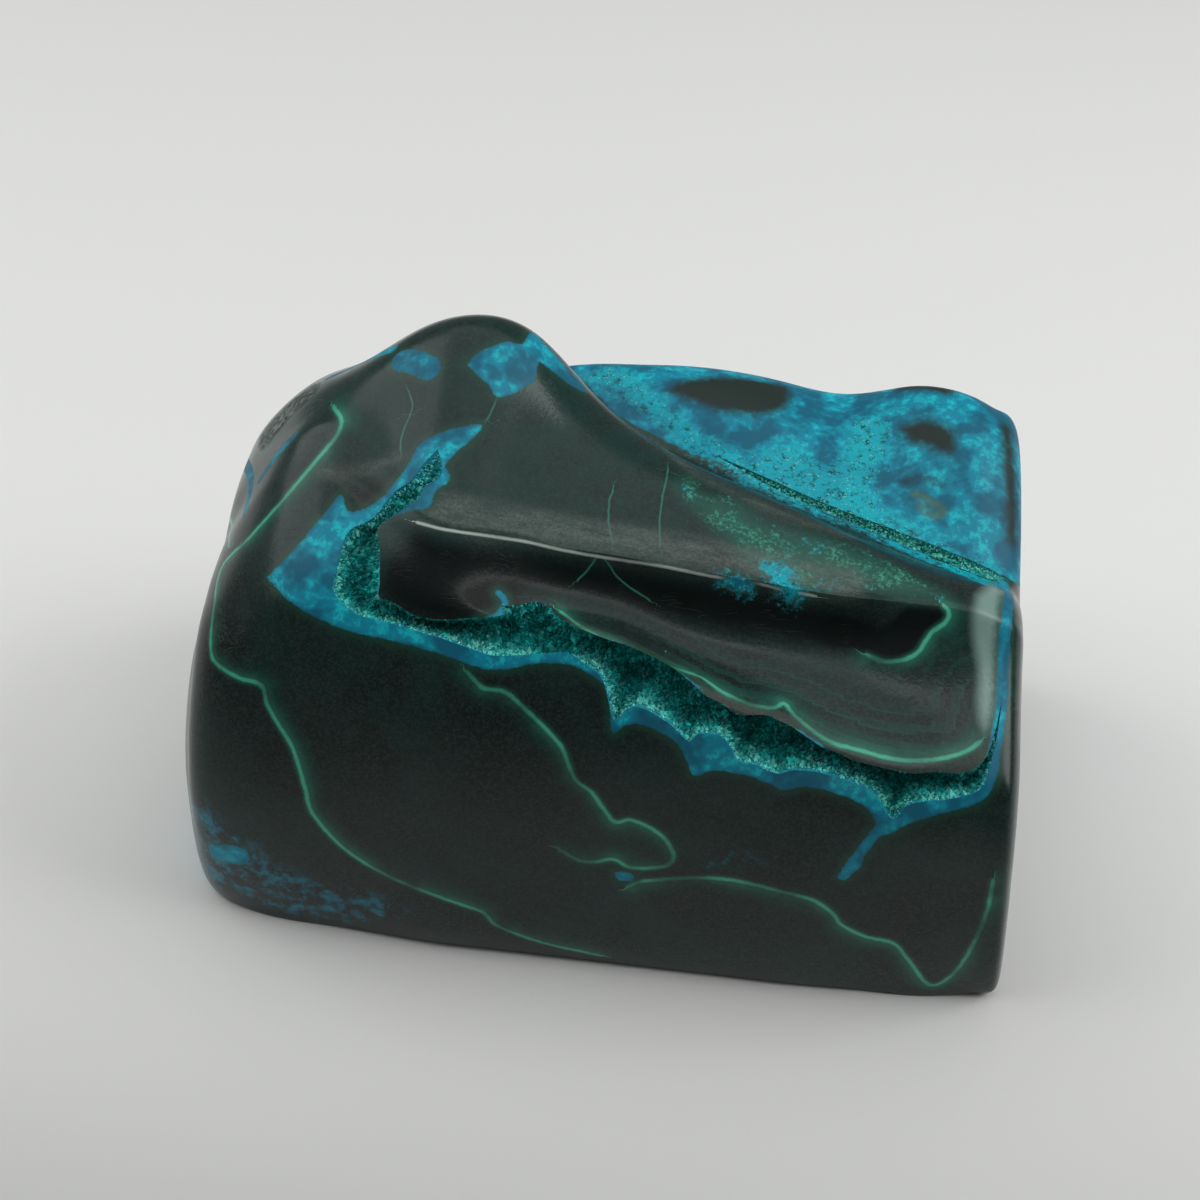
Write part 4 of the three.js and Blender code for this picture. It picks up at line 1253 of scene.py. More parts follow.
@dataclass
class Canvas:
    """What the layers of the polished stone share: its tree, its noises and its marks.

    Attributes:
        shade: the writer of the material's tree.
        effects: the shared node groups.
        place: the place on the stone.
        axes: its coordinates, by axis.
        clouds: slow noise.
        drift: quicker noise.
        wander: small noise about zero that moves thin lines.
        fleck: a value for each fine grain.
    """

    shade: Shade
    effects: Effects
    place: bpy.types.NodeSocket = field(init=False)
    axes: bpy.types.NodeOutputs = field(init=False)
    clouds: bpy.types.NodeSocket = field(init=False)
    drift: bpy.types.NodeSocket = field(init=False)
    wander: bpy.types.NodeSocket = field(init=False)
    fleck: bpy.types.NodeSocket = field(init=False)

    def __post_init__(self) -> None:
        """Writes the noises that several layers use."""
        shade = self.shade
        self.place = shade.where()
        split = shade.node("SeparateXYZ")
        shade.feed(split.inputs[0], self.place)
        self.axes = split.outputs
        self.clouds = shade.noise(self.place, 11, detail=4, roughness=0.6, warp=0.4)
        self.drift = shade.noise(self.place, 4, detail=3, roughness=0.6)
        self.wander = shade.calc("SUBTRACT", shade.noise(self.place, 1.1, detail=3, roughness=0.7), 0.5)
        grains = shade.place_group(self.effects.speckle, place=self.place, size=0.2, share=0.35)
        self.fleck = grains.outputs["Value"]

    def ragged(self, distance: bpy.types.NodeSocket, ragged: float, soft: float) -> bpy.types.NodeSocket:
        """A mask where a distance is positive, its edge broken up."""
        made = self.shade.place_group(
            self.effects.ragged, place=self.place, distance=distance, ragged=ragged, soft=soft)
        return made.outputs[0]

    def patch(self, mark: Mark, ragged: float, soft: float) -> bpy.types.NodeSocket:
        """A mask of one kind of mark, its edge broken up."""
        return self.ragged(self.shade.read(mark.value), ragged, soft)

    def over(self, mark: Mark, start: float, stop: float, high: float = 1) -> bpy.types.NodeSocket:
        """A smooth step over the field of one kind of mark."""
        return self.shade.ease(self.shade.read(mark.value), start, stop, 0, high)

    def thin(self, mark: Mark, sway: float, faded: float, full: float) -> bpy.types.NodeSocket:
        """A thin line along the strokes of one kind.

        Args:
            mark: the kind of stroke.
            sway: how much the line wanders about its stroke.
            faded: how far from the stroke it has faded out.
            full: how far from the stroke it is still full.

        Returns:
            The line's mask.
        """
        shade = self.shade
        side = shade.calc("ADD", shade.read(mark.value), shade.times(self.wander, sway))
        line = shade.ease(shade.calc("ABSOLUTE", side), faded, full)
        return shade.times(line, self.over(mark.plain, 1.6, 1.0))


@dataclass(frozen=True)
class PolishedStone:
    """The satin-polished skin: dark malachite, light green lines and blue chrysocolla."""

    black: Colour = (0.0075, 0.0115, 0.0115)
    green: Colour = (0.0070, 0.0260, 0.0225)
    moss: Colour = (0.0085, 0.0420, 0.0350)
    # the dark core's colour, also used for the painted shade under the ridge
    darkest_tone: Colour = (0.0012, 0.0028, 0.0028)
    brown: Colour = (0.0085, 0.0100, 0.0092)
    line: Colour = (0.075, 0.46, 0.30)
    glow: Colour = (0.012, 0.12, 0.085)
    deep_blue: Colour = (0.0003, 0.12, 0.20)
    blue: Colour = (0.0004, 0.24, 0.36)
    turquoise: Colour = (0.004, 0.54, 0.62)
    pit: Colour = (0.002, 0.060, 0.055)
    crust: Colour = (0.16, 0.56, 0.50)
    olive: Colour = (0.012, 0.060, 0.038)
    island: Colour = (0.012, 0.026, 0.022)
    ochre: Colour = (0.10, 0.16, 0.05)
    # painted highlight along the ridge
    ridge_glint: Colour = (0.52, 0.60, 0.56)
    # the tint of pale grains in the stone, and of the painted sheen
    grain_and_sheen: Colour = (0.12, 0.15, 0.135)
    # partly the lip's grainy pale rim, partly a painted highlight along its edge
    rim: Colour = (0.038, 0.048, 0.044)
    matrix: Colour = (0.22, 0.27, 0.255)
    # painted reflection on the right end
    pale: Colour = (0.21, 0.33, 0.30)
    gloss: float = 0.22
    ior: float = 1.36

    def build(self, effects: Effects) -> bpy.types.Material:
        """Builds the material, one layer over another.

        Args:
            effects: the shared node groups.

        Returns:
            The finished material.
        """
        material, shade, shader = bare_material("polished stone")
        canvas = Canvas(shade, effects)
        colour = self.clouded(canvas)
        for layer in (self.banded, self.granular, self.lined, self.highlighted, self.weathered):
            colour = layer(canvas, colour)
        colour, patch = self.chrysocolla(canvas, colour)
        shade.feed(shader.inputs["Base Color"], self.crusted(canvas, colour))
        uneven = shade.noise(canvas.place, 6, detail=3)
        rough = shade.ease(uneven, 0.3, 0.75, self.gloss - 0.04, self.gloss + 0.07)
        rough = shade.calc("ADD", rough, shade.times(patch, 0.3))
        rough = shade.calc("ADD", rough, shade.times(canvas.over(Mark.MATRIX, -0.6, 0.6), 0.35))
        shade.feed(shader.inputs["Roughness"], rough)
        shader.inputs["IOR"].default_value = self.ior
        add_bump(shade, shader, self.relief(canvas))
        return material

    @staticmethod
    def relief(canvas: Canvas) -> bpy.types.NodeSocket:
        """The height of the skin: polished, but rough where it is weathered, granular or porous.

        Args:
            canvas: what the layers share.

        Returns:
            The height in millimetres.
        """
        shade = canvas.shade
        polish = shade.place_group(
            canvas.effects.relief, place=canvas.place, waves=0.03, grain=0.015, scratches=0.008)
        height = polish.outputs[0]
        for mark, soft, size, detail, depth in (
            (Mark.MATRIX, 0.6, 0.5, 4, 0.16),
            (Mark.SPECKLE, 0.8, 0.35, 3, 0.06),
            (Mark.POROUS, 0.8, 0.55, 3, 0.25),
        ):
            lumps = shade.noise(canvas.place, size, detail=detail, roughness=0.7)
            height = shade.calc("ADD", height, shade.times(canvas.over(mark, -soft, soft), lumps, depth))
        return height

    def clouded(self, canvas: Canvas) -> bpy.types.NodeSocket:
        """Colours the dark stone: clouds, smoke and fine grains, and greener towards the top.

        Args:
            canvas: what the layers share.

        Returns:
            The colour.
        """
        shade = canvas.shade
        colour = shade.mix(shade.ease(canvas.clouds, 0.35, 0.65), self.black, self.green)
        smoke = shade.noise(canvas.place, 7, detail=3, roughness=0.65)
        colour = shade.mix(shade.ease(smoke, 0.5, 0.7, 0, 0.7), colour, self.brown)
        gather = shade.ease(shade.noise(canvas.place, 0.5, detail=2), 0.35, 0.7)
        dust = shade.times(canvas.fleck, gather)
        colour = shade.mix(dust, colour, self.green)
        colour = shade.mix(shade.ease(canvas.fleck, 0.3, 0.9, 0, 0.08), colour, self.grain_and_sheen)
        high = shade.times(
            shade.ease(canvas.axes["Z"], 39 * MM, 45 * MM),
            shade.ease(canvas.clouds, 0.3, 0.7, 0.5, 1),
            shade.ease(dust, 0, 0.6, 0.6, 1),
        )
        return shade.mix(high, colour, self.moss)

    def banded(self, canvas: Canvas, colour: bpy.types.NodeSocket) -> bpy.types.NodeSocket:
        """Adds the growth bands that follow the slab's lip, its grainy rim with a painted edge highlight, the
        painted shade under the ridge, its dark core and the painted reflection on its right end.

        Args:
            canvas: what the layers share.
            colour: the colour under this layer.

        Returns:
            The colour with this layer on it.
        """
        shade = canvas.shade
        lip = shade.read("lip")
        wave = shade.calc("ADD", shade.times(lip, 3.2), shade.times(canvas.clouds, 5.0))
        near = shade.times(shade.ease(lip, 11, 2), shade.ease(lip, -0.1, 0.1))
        right = shade.ease(canvas.axes["X"], 2 * MM, 16 * MM)
        band = shade.times(shade.ease(shade.calc("SINE", wave), -0.2, 1.0), near, right, 0.3)
        colour = shade.mix(band, colour, self.glow)
        # partly a grainy pale rim, partly a painted highlight along the lip's edge
        rim = canvas.ragged(shade.calc("SUBTRACT", 0.85, shade.calc("ABSOLUTE", lip)), 0.35, 0.15)
        rim = shade.times(rim, shade.ease(canvas.fleck, 0, 1, 0.35, 0.95))
        colour = shade.mix(rim, colour, self.rim)
        # painted shade under the ridge, over the wall and the nose
        colour = shade.mix(canvas.over(Mark.DARK, -1.2, 1.6, 0.92), colour, self.darkest_tone)
        colour = shade.mix(canvas.over(Mark.CORE, -0.6, 0.5, 0.9), colour, self.darkest_tone)
        # painted reflection: the right end made pale
        return shade.mix(canvas.over(Mark.END_REFLECTION, -0.9, 0.7, 0.9), colour, self.pale)

    def granular(self, canvas: Canvas, colour: bpy.types.NodeSocket) -> bpy.types.NodeSocket:
        """Adds the granular patches.

        Args:
            canvas: what the layers share.
            colour: the colour under this layer.

        Returns:
            The colour with this layer on it.
        """
        shade = canvas.shade
        colour = shade.mix(canvas.over(Mark.SPECKLE, -1.5, 2.0, 0.65), colour, self.glow)
        grit = shade.ease(shade.noise(canvas.place, 0.42, detail=4, roughness=0.8), 0.47, 0.6)
        lumps = shade.ease(shade.noise(canvas.place, 2.6, detail=3, roughness=0.7), 0.42, 0.62)
        grit = shade.times(grit, lumps, canvas.patch(Mark.SPECKLE, 2.4, 0.5), 0.56)
        tint = shade.ease(shade.noise(canvas.place, 3, detail=2), 0.45, 0.62)
        return shade.mix(grit, colour, shade.mix(tint, self.line, self.turquoise))

    def lined(self, canvas: Canvas, colour: bpy.types.NodeSocket) -> bpy.types.NodeSocket:
        """Adds the light green lines, each a crisp thread with a soft side, and the faint veins.

        Args:
            canvas: what the layers share.
            colour: the colour under this layer.

        Returns:
            The colour with this layer on it.
        """
        shade = canvas.shade
        away = shade.read(Mark.THREAD.value)
        side = shade.calc("ADD", shade.read(Mark.LINE.value), shade.times(canvas.wander, 0.3))
        side = shade.ease(side, -0.8, 0.0)
        strength = shade.ease(shade.noise(canvas.place, 6, detail=3), 0.32, 0.62, 0.2, 1.0)
        soft = shade.times(shade.ease(away, 2.6, 0.0), side, strength, 0.55)
        colour = shade.mix(soft, colour, self.glow)
        inner = shade.times(shade.ease(away, 1.3, 0.0), side, strength, 0.17)
        colour = shade.mix(inner, colour, self.line)
        thread = shade.times(canvas.thin(Mark.LINE, sway=0.3, faded=0.32, full=0.07), strength, 0.9)
        colour = shade.mix(thread, colour, self.line)
        vein = shade.times(canvas.thin(Mark.VEIN, sway=0.3, faded=0.15, full=0.02), 0.28)
        return shade.mix(vein, colour, self.line)

    def highlighted(self, canvas: Canvas, colour: bpy.types.NodeSocket) -> bpy.types.NodeSocket:
        """Adds the painted sheen and the painted highlight along the ridge.

        Args:
            canvas: what the layers share.
            colour: the colour under this layer.

        Returns:
            The colour with this layer on it.
        """
        shade = canvas.shade
        # painted sheen: a streaky paler band where the polish catches the light
        sheen_streaks = shade.noise(canvas.place, 1.4, detail=4, roughness=0.75, stretch=(0.2, 1, 1))
        grain_and_sheen = shade.times(
            canvas.over(Mark.SHEEN, -0.6, 1.8),
            shade.ease(sheen_streaks, 0.3, 0.7, 0.25, 0.8),
            shade.ease(canvas.fleck, 0, 1, 0.6, 1),
        )
        colour = shade.mix(grain_and_sheen, colour, self.grain_and_sheen)
        # painted highlight: a thin bright line along the ridge
        ridge_glint = canvas.thin(Mark.RIDGE_GLINT, sway=0.12, faded=0.24, full=0.04)
        ridge_glint = shade.times(ridge_glint, shade.ease(canvas.clouds, 0.3, 0.6, 0.5, 0.9))
        return shade.mix(ridge_glint, colour, self.ridge_glint)

    def weathered(self, canvas: Canvas, colour: bpy.types.NodeSocket) -> bpy.types.NodeSocket:
        """Adds the rough pale skin left on the shoulder.

        Args:
            canvas: what the layers share.
            colour: the colour under this layer.

        Returns:
            The colour with this layer on it.
        """
        shade = canvas.shade
        mottle = shade.ease(shade.noise(canvas.place, 0.6, detail=4, roughness=0.75), 0.44, 0.56)
        bare = shade.times(canvas.patch(Mark.MATRIX, 2.4, 0.3), 0.75)
        return shade.mix(bare, colour, shade.mix(mottle, self.brown, self.matrix))

    def chrysocolla(self, canvas: Canvas,
                    stone: bpy.types.NodeSocket) -> tuple[bpy.types.NodeSocket, bpy.types.NodeSocket]:
        """Lays blue patches and blue mist over the stone.

        Args:
            canvas: what the layers share.
            stone: the colour under the patches.

        Returns:
            The colour with its patches, and the mask of the patches.
        """
        shade = canvas.shade
        depth = shade.read(Mark.CHRYSOCOLLA.value)
        outline = canvas.ragged(shade.calc("ADD", depth, 0.55), 0.5, 0.5)
        colour = shade.mix(shade.times(outline, 0.75), stone, self.olive)
        body = shade.mix(shade.ease(canvas.drift, 0.38, 0.56), self.deep_blue, self.blue)
        fine = shade.noise(canvas.place, 1.1, detail=4, roughness=0.7)
        milk = shade.times(shade.ease(fine, 0.44, 0.64), shade.ease(canvas.drift, 0.44, 0.6), 0.9)
        body = shade.mix(milk, body, self.turquoise)
        body = shade.mix(shade.ease(depth, 0.5, 0.0, 0, 0.5), body, self.deep_blue)
        patch = canvas.ragged(depth, 0.28, 0.12)
        colour = shade.mix(patch, colour, body)
        cloud = shade.ease(shade.noise(canvas.place, 2.2, detail=5, roughness=0.7), 0.44, 0.66, 0, 0.75)
        mist = shade.times(canvas.over(Mark.MIST, -1.5, 1.5), cloud)
        return shade.mix(mist, colour, self.blue), patch

    def crusted(self, canvas: Canvas, colour: bpy.types.NodeSocket) -> bpy.types.NodeSocket:
        """Lays the porous crust, the ochre stain and the dark islands over the blue.

        Args:
            canvas: what the layers share.
            colour: the colour under this layer.

        Returns:
            The colour with this layer on it.
        """
        shade = canvas.shade
        holes = shade.ease(shade.noise(canvas.place, 0.8, detail=5, roughness=0.8), 0.36, 0.5)
        crust = shade.mix(holes, self.pit, shade.mix(canvas.drift, self.blue, self.turquoise))
        dots = shade.place_group(canvas.effects.speckle, place=canvas.place, size=0.26, share=0.15)
        crust = shade.mix(dots.outputs["Mask"], crust, self.crust)
        colour = shade.mix(canvas.patch(Mark.POROUS, 2.6, 1.0), colour, crust)
        colour = shade.mix(canvas.over(Mark.OCHRE, -0.7, 0.2, 0.6), colour, self.ochre)
        return shade.mix(canvas.patch(Mark.ISLAND, 0.7, 0.9), colour, self.island)


@dataclass(frozen=True)
class GroundBase:
    """The flat sawn and ground base: the same stone, matt, with bands cut across."""

    dark: Colour = (0.012, 0.020, 0.018)
    pale: Colour = (0.030, 0.062, 0.052)
    band: Colour = (0.035, 0.19, 0.13)
    blue: Colour = (0.004, 0.13, 0.20)
    roughness: float = 0.55

    def build(self, effects: Effects) -> bpy.types.Material:
        """Builds the material from the shared node groups.

        Args:
            effects: the shared node groups.

        Returns:
            The finished material.
        """
        material, shade, shader = bare_material("ground base")
        place = shade.where()
        growth = shade.noise(place, 24, detail=3, roughness=0.45, warp=0.3)
        rings = shade.calc("ABSOLUTE", shade.calc("SINE", shade.times(growth, 46.0)))
        colour = shade.mix(shade.ease(rings, 0.1, 0.9), self.dark, self.pale)
        colour = shade.mix(shade.ease(rings, 0.14, 0.0, 0, 0.7), colour, self.band)
        edge = shade.times(shade.calc("SUBTRACT", growth, 0.6), 60.0)
        patch = shade.place_group(effects.ragged, place=place, distance=edge, ragged=0.6, soft=0.3)
        colour = shade.mix(patch.outputs[0], colour, self.blue)
        fleck = shade.place_group(effects.speckle, place=place, size=0.3, share=0.2)
        colour = shade.mix(shade.times(fleck.outputs["Mask"], 0.25), colour, self.pale)
        shade.feed(shader.inputs["Base Color"], colour)
        rough = shade.ease(growth, 0, 1, self.roughness - 0.1, self.roughness + 0.1)
        shade.feed(shader.inputs["Roughness"], rough)
        relief = shade.place_group(effects.relief, place=place, waves=0.02, grain=0.03, scratches=0.03)
        add_bump(shade, shader, relief.outputs[0])
        return material


@dataclass(frozen=True)
class DruseBed:
    """The wall of a vug between the crystals that line it."""

    shadow: Colour = (0.005, 0.18, 0.17)
    teal: Colour = (0.012, 0.32, 0.29)
    blue: Colour = (0.001, 0.26, 0.38)
    roughness: float = 0.6

    def build(self, effects: Effects) -> bpy.types.Material:
        """Builds the material from the shared node groups.

        Args:
            effects: the shared node groups.

        Returns:
            The finished material.
        """
        material, shade, shader = bare_material("druse bed")
        place = shade.where()
        lumps = shade.noise(place, 1.6, detail=4, roughness=0.65)
        colour = shade.mix(shade.ease(lumps, 0.4, 0.65), self.shadow, self.teal)
        depth = shade.calc("SUBTRACT", 0.45, shade.read("mouth"))
        edge = shade.place_group(effects.ragged, place=place, distance=depth, ragged=0.3, soft=0.15)
        colour = shade.mix(edge.outputs[0], colour, self.blue)
        shade.feed(shader.inputs["Base Color"], colour)
        rough = shade.ease(lumps, 0, 1, self.roughness - 0.1, self.roughness + 0.1)
        shade.feed(shader.inputs["Roughness"], rough)
        add_bump(shade, shader, shade.times(shade.noise(place, 0.3, detail=3, roughness=0.7), 0.25))
        return material


@dataclass(frozen=True)
class DruseCrystal:
    """The tiny crystals: dark teal in the depth, bright turquoise at the chrysocolla's edge."""

    shadow: Colour = (0.004, 0.18, 0.175)
    teal: Colour = (0.018, 0.86, 0.80)
    bright: Colour = (0.20, 0.85, 0.72)
    roughness: float = 0.38
    ior: float = 1.40

    def build(self, effects: Effects) -> bpy.types.Material:
        """Builds the material from the shared node groups.

        Args:
            effects: the shared node groups.

        Returns:
            The finished material.
        """
        material, shade, shader = bare_material("druse crystal")
        place = shade.where()
        tint = shade.read("tint")
        lumps = shade.noise(place, 1.4, detail=3, roughness=0.6)
        body = shade.mix(shade.times(tint, shade.ease(lumps, 0.3, 0.7)), self.shadow, self.teal)
        fleck = shade.place_group(effects.speckle, place=place, size=0.12, share=0.5)
        lit = shade.times(shade.read("light"), shade.ease(fleck.outputs["Value"], 0, 1, 0.75, 1.0))
        shade.feed(shader.inputs["Base Color"], shade.mix(lit, body, self.bright))
        rough = shade.ease(tint, 0, 1, self.roughness - 0.08, self.roughness + 0.12)
        shade.feed(shader.inputs["Roughness"], rough)
        shader.inputs["IOR"].default_value = self.ior
        add_bump(shade, shader, shade.times(shade.noise(place, 0.12, detail=1), 0.02))
        return material


# ---------------------------------------------------------------- the stone and its druse

@dataclass
class Stone:
    """The whole stone: its skin, opened by the vugs, marked and dressed.

    Attributes:
        skin: the skin before it is opened.
        vugs: the cavities.
        markings: what is drawn on it.
        crease: the sharpest turn that is shaded smooth, in degrees.
        lip_run: the slab's lip is the upper edge of the front vug past this x and in front of this y.
        lip_reach: how far from the lip its field reaches.
        mouth_reach: how far from the front vug's mouth its field reaches.
        whole: the search tree of the skin before it was opened, known once the stone is built.
    """

    skin: Skin = field(default_factory=Skin)
    vugs: list[Vug] = field(default_factory=lambda: [FRONT_VUG, BACK_VUG])
    markings: Markings = field(default_factory=Markings)
    crease: float = 38.0
    lip_run: Point2 = (-5, -16.5)
    lip_reach: float = 14.0
    mouth_reach: float = 8.0
    whole: BVHTree = field(init=False)

    def build(self, effects: Effects) -> bpy.types.Object:
        """Models, cuts, marks and dresses the stone.

        Args:
            effects: the shared node groups.

        Returns:
            The finished stone.
        """
        stone = self.skin.build()
        polished = PolishedStone().build(effects)
        bed = DruseBed().build(effects)
        base = GroundBase().build(effects)
        for material in (polished, bed, base):
            stone.data.materials.append(material)
        for face in stone.data.polygons:
            under = face.normal.z < -0.999 and abs(face.center.z) < 0.1 * MM
            face.material_index = BASE if under else POLISHED
        self.whole = tree_of(stone)
        for vug in self.vugs:
            self.open_up(stone, vug, bed)
        self.mark(stone)
        take(stone)
        bpy.ops.object.shade_smooth_by_angle(angle=math.radians(self.crease))
        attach(stone, BODY)
        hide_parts(NODE)
        return stone

    def open_up(self, stone: bpy.types.Object, vug: Vug, bed: bpy.types.Material) -> None:
        """Cuts one vug out of the stone and gives its wall the bed's finish.

        Args:
            stone: the stone so far.
            vug: the cavity to cut.
            bed: the finish of the cavity's wall.
        """
        cutter = vug.build(self.whole)
        cutter.data.materials.append(bed)
        take(stone)
        cut = stone.modifiers.new("opening", "BOOLEAN")
        cut.operation = "DIFFERENCE"
        cut.solver = "MANIFOLD"
        cut.material_mode = "TRANSFER"
        cut.object = cutter
        bpy.ops.object.modifier_apply(modifier=cut.name)
        bpy.data.objects.remove(cutter)

    def mark(self, stone: bpy.types.Object) -> None:
        """Stores the markings' fields on the stone, with the distances from its edges.

        Args:
            stone: the opened stone.
        """
        places = corners(stone)
        fields = self.markings.fields(places, corner_normals(stone), self.whole)
        for mark, values in fields.items():
            write_field(stone, mark.value, values)
        low, high = FRONT_VUG.edges()
        lip = high[(high[:, 0] > self.lip_run[0]) & (high[:, 1] < self.lip_run[1])]
        away = whole_steps(chain(lip), places, self.lip_reach)
        flat, edge = FRONT_SHEET.flat(places), FRONT_SHEET.flat(lip)
        above = flat[:, 1] > np.interp(flat[:, 0], edge[:, 0], edge[:, 1]) - 0.05
        write_field(stone, "lip", np.where(above, away, -away))
        mouth = chain(np.vstack([low, high[::-1]]))
        write_field(stone, "mouth", whole_steps(mouth, places, self.mouth_reach))


@dataclass
class Druse:
    """The crystals that line one vug.

    Attributes:
        vug: the vug that they line.
        count: how many there are.
        radius: the half width of a middling crystal.
        height: how far it stands.
        root: how far it reaches into its bed.
        sides: how many sides it has.
        bright_reach: how far from the chrysocolla's edge the bright tips go.
        bright_share: how many of the others are bright.
        least_depth: how far under the uncut skin the shallowest one is seated.
        spread: how much they differ in size.
        tilt: how far they lean off the wall's normal.
        stretch: the shortest and the tallest for its width.
        seat_reach: how far from the middle of the mouth they can be seated.
        rim_reach: how far from the mouth's edges distances are measured.
    """

    vug: Vug
    count: int
    radius: float = 0.22
    height: float = 0.27
    root: float = 0.2
    sides: int = 5
    bright_reach: float = 2.2
    bright_share: float = 0.05
    least_depth: float = 0.15
    spread: float = 0.32
    tilt: float = 0.28
    stretch: Point2 = (0.7, 1.35)
    seat_reach: float = 12.0
    rim_reach: float = 8.0

    def crystal(self) -> tuple[np.ndarray, list[tuple[int, ...]]]:
        """Models one crystal: a five-sided point, its foot drawn out to a root.

        Returns:
            Its vertices in millimetres and its faces.
        """
        start_clean()
        bpy.ops.mesh.primitive_cone_add(
            vertices=self.sides, radius1=self.radius * MM, radius2=0, depth=self.height * MM,
            end_fill_type="TRIFAN", location=(0, 0, self.height / 2 * MM),
        )
        point = newest("crystal")
        bpy.ops.object.transform_apply(location=True)
        places = corners(point)
        middle = np.argmin(np.hypot(places[:, 0], places[:, 1]) + np.abs(places[:, 2]) * 10)
        bpy.ops.object.mode_set(mode="EDIT")
        bpy.ops.mesh.select_all(action="DESELECT")
        bpy.ops.object.mode_set(mode="OBJECT")
        point.data.vertices[int(middle)].select = True
        bpy.ops.object.mode_set(mode="EDIT")
        bpy.ops.transform.translate(value=(0, 0, -self.root * MM))
        bpy.ops.object.mode_set(mode="OBJECT")
        outward(point)
        places = corners(point)
        faces = [tuple(face.vertices) for face in point.data.polygons]
        bpy.data.objects.remove(point)
        return places, faces

    def seats(self, stone: bpy.types.Object, whole: BVHTree,
              draw: np.random.Generator) -> tuple[np.ndarray, np.ndarray]:
        """Picks places on the vug's wall, spread evenly over its area.

        Args:
            stone: the stone whose bed faces are lined.
            whole: the search tree of the uncut skin.
            draw: the source of random numbers.

        Returns:
            The places and their normals.
        """
        low, high = self.vug.edges()
        spine = (low + high) / 2
        mesh = stone.data
        mesh.calc_loop_triangles()
        places = corners(stone)
        triangles = np.array([tuple(t.vertices) for t in mesh.loop_triangles if t.material_index == BED])
        p, q, r = (places[triangles[:, i]] for i in range(3))
        middle = (p + q + r) / 3
        close = nearest(chain(spine), middle, self.seat_reach)[0] < self.seat_reach
        close &= distances(whole, middle) > self.least_depth
        p, q, r = p[close], q[close], r[close]
        cross = np.cross(q - p, r - p)
        area = np.linalg.norm(cross, axis=1) / 2
        chosen = draw.choice(len(area), self.count, p=area / area.sum())
        u, v = draw.random((2, self.count))
        flip = u + v > 1
        u[flip], v[flip] = 1 - u[flip], 1 - v[flip]
        p, q, r = p[chosen], q[chosen], r[chosen]
        return p + u[:, None] * (q - p) + v[:, None] * (r - p), cross[chosen] / (2 * area[chosen, None])

    def stances(self, normals: np.ndarray, draw: np.random.Generator) -> tuple[np.ndarray, ...]:
        """How each crystal stands: its two directions across and the one along it, turned at random.

        Args:
            normals: the wall's normals under the crystals.
            draw: the source of random numbers.

        Returns:
            The side, front and axis of each crystal.
        """
        axis = normals + draw.normal(0, self.tilt, (self.count, 3))
        axis /= np.linalg.norm(axis, axis=1)[:, None]
        helper = np.where(np.abs(axis[:, 2:]) < 0.9, [[0, 0, 1.0]], [[1.0, 0, 0]])
        side = np.cross(axis, helper)
        side /= np.linalg.norm(side, axis=1)[:, None]
        turn = draw.uniform(0, 2 * math.pi, (self.count, 1))
        front = np.cross(axis, side)
        return side * np.cos(turn) + front * np.sin(turn), front * np.cos(turn) - side * np.sin(turn), axis

    def lights(self, seats: np.ndarray, near_low: np.ndarray, draw: np.random.Generator) -> np.ndarray:
        """How bright each crystal's tint is: brightest in patches near the mouth's lower edge.

        Args:
            seats: where the crystals sit.
            near_low: how far each is from the mouth's lower edge.
            draw: the source of random numbers.

        Returns:
            A value from 0 to 1 for each crystal.
        """
        patchy = np.array([noise.noise(Vector(seat) / 1.5) for seat in seats])
        fade = np.clip(1.15 - near_low / self.bright_reach + 0.7 * patchy, 0, 1)
        lit = draw.random(self.count) < self.bright_share + 0.5 * fade
        return np.where(lit, (0.3 + 0.7 * fade) * draw.uniform(0.4, 1.0, self.count), 0)

    def build(self, stone: bpy.types.Object, whole: BVHTree,
              material: bpy.types.Material) -> bpy.types.Object:
        """Grows the crystals on the wall of the vug.

        Args:
            stone: the opened stone.
            whole: the search tree of the uncut skin.
            material: the crystals' finish.

        Returns:
            The joined crystals.
        """
        draw = np.random.default_rng(SEED + self.count)
        shape, faces = self.crystal()
        seats, normals = self.seats(stone, whole, draw)
        near_low, near_high = (
            whole_steps(chain(edge), seats, self.rim_reach) for edge in self.vug.edges()
        )
        rim = np.minimum(near_low, near_high)
        size = draw.lognormal(0, self.spread, self.count) * np.interp(rim, [0, 1.2], [0.55, 1.0])
        size *= np.interp(distances(whole, seats), [self.least_depth, 0.5], [0.4, 1.0])
        side, front, axis = self.stances(normals, draw)
        tall = size * draw.uniform(*self.stretch, self.count)
        body = seats[:, None] + (
            shape[None, :, :1] * (side * size[:, None])[:, None]
            + shape[None, :, 1:2] * (front * size[:, None])[:, None]
            + shape[None, :, 2:] * (axis * tall[:, None])[:, None]
        )
        offsets = np.arange(self.count)[:, None, None] * len(shape)
        joined = (np.array(faces)[None] + offsets).reshape(-1, 3)
        mesh = bpy.data.meshes.new("druse_" + self.vug.name)
        mesh.from_pydata((body.reshape(-1, 3) * MM).tolist(), [], joined.tolist())
        mesh.materials.append(material)
        druse = bpy.data.objects.new(mesh.name, mesh)
        bpy.context.collection.objects.link(druse)
        light = self.lights(seats, near_low, draw)
        write_field(druse, "light", np.repeat(light, len(shape)))
        write_field(druse, "tint", np.repeat(draw.random(self.count) ** 1.4, len(shape)))
        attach(druse, BODY)
        return druse


# ---------------------------------------------------------------- the studio

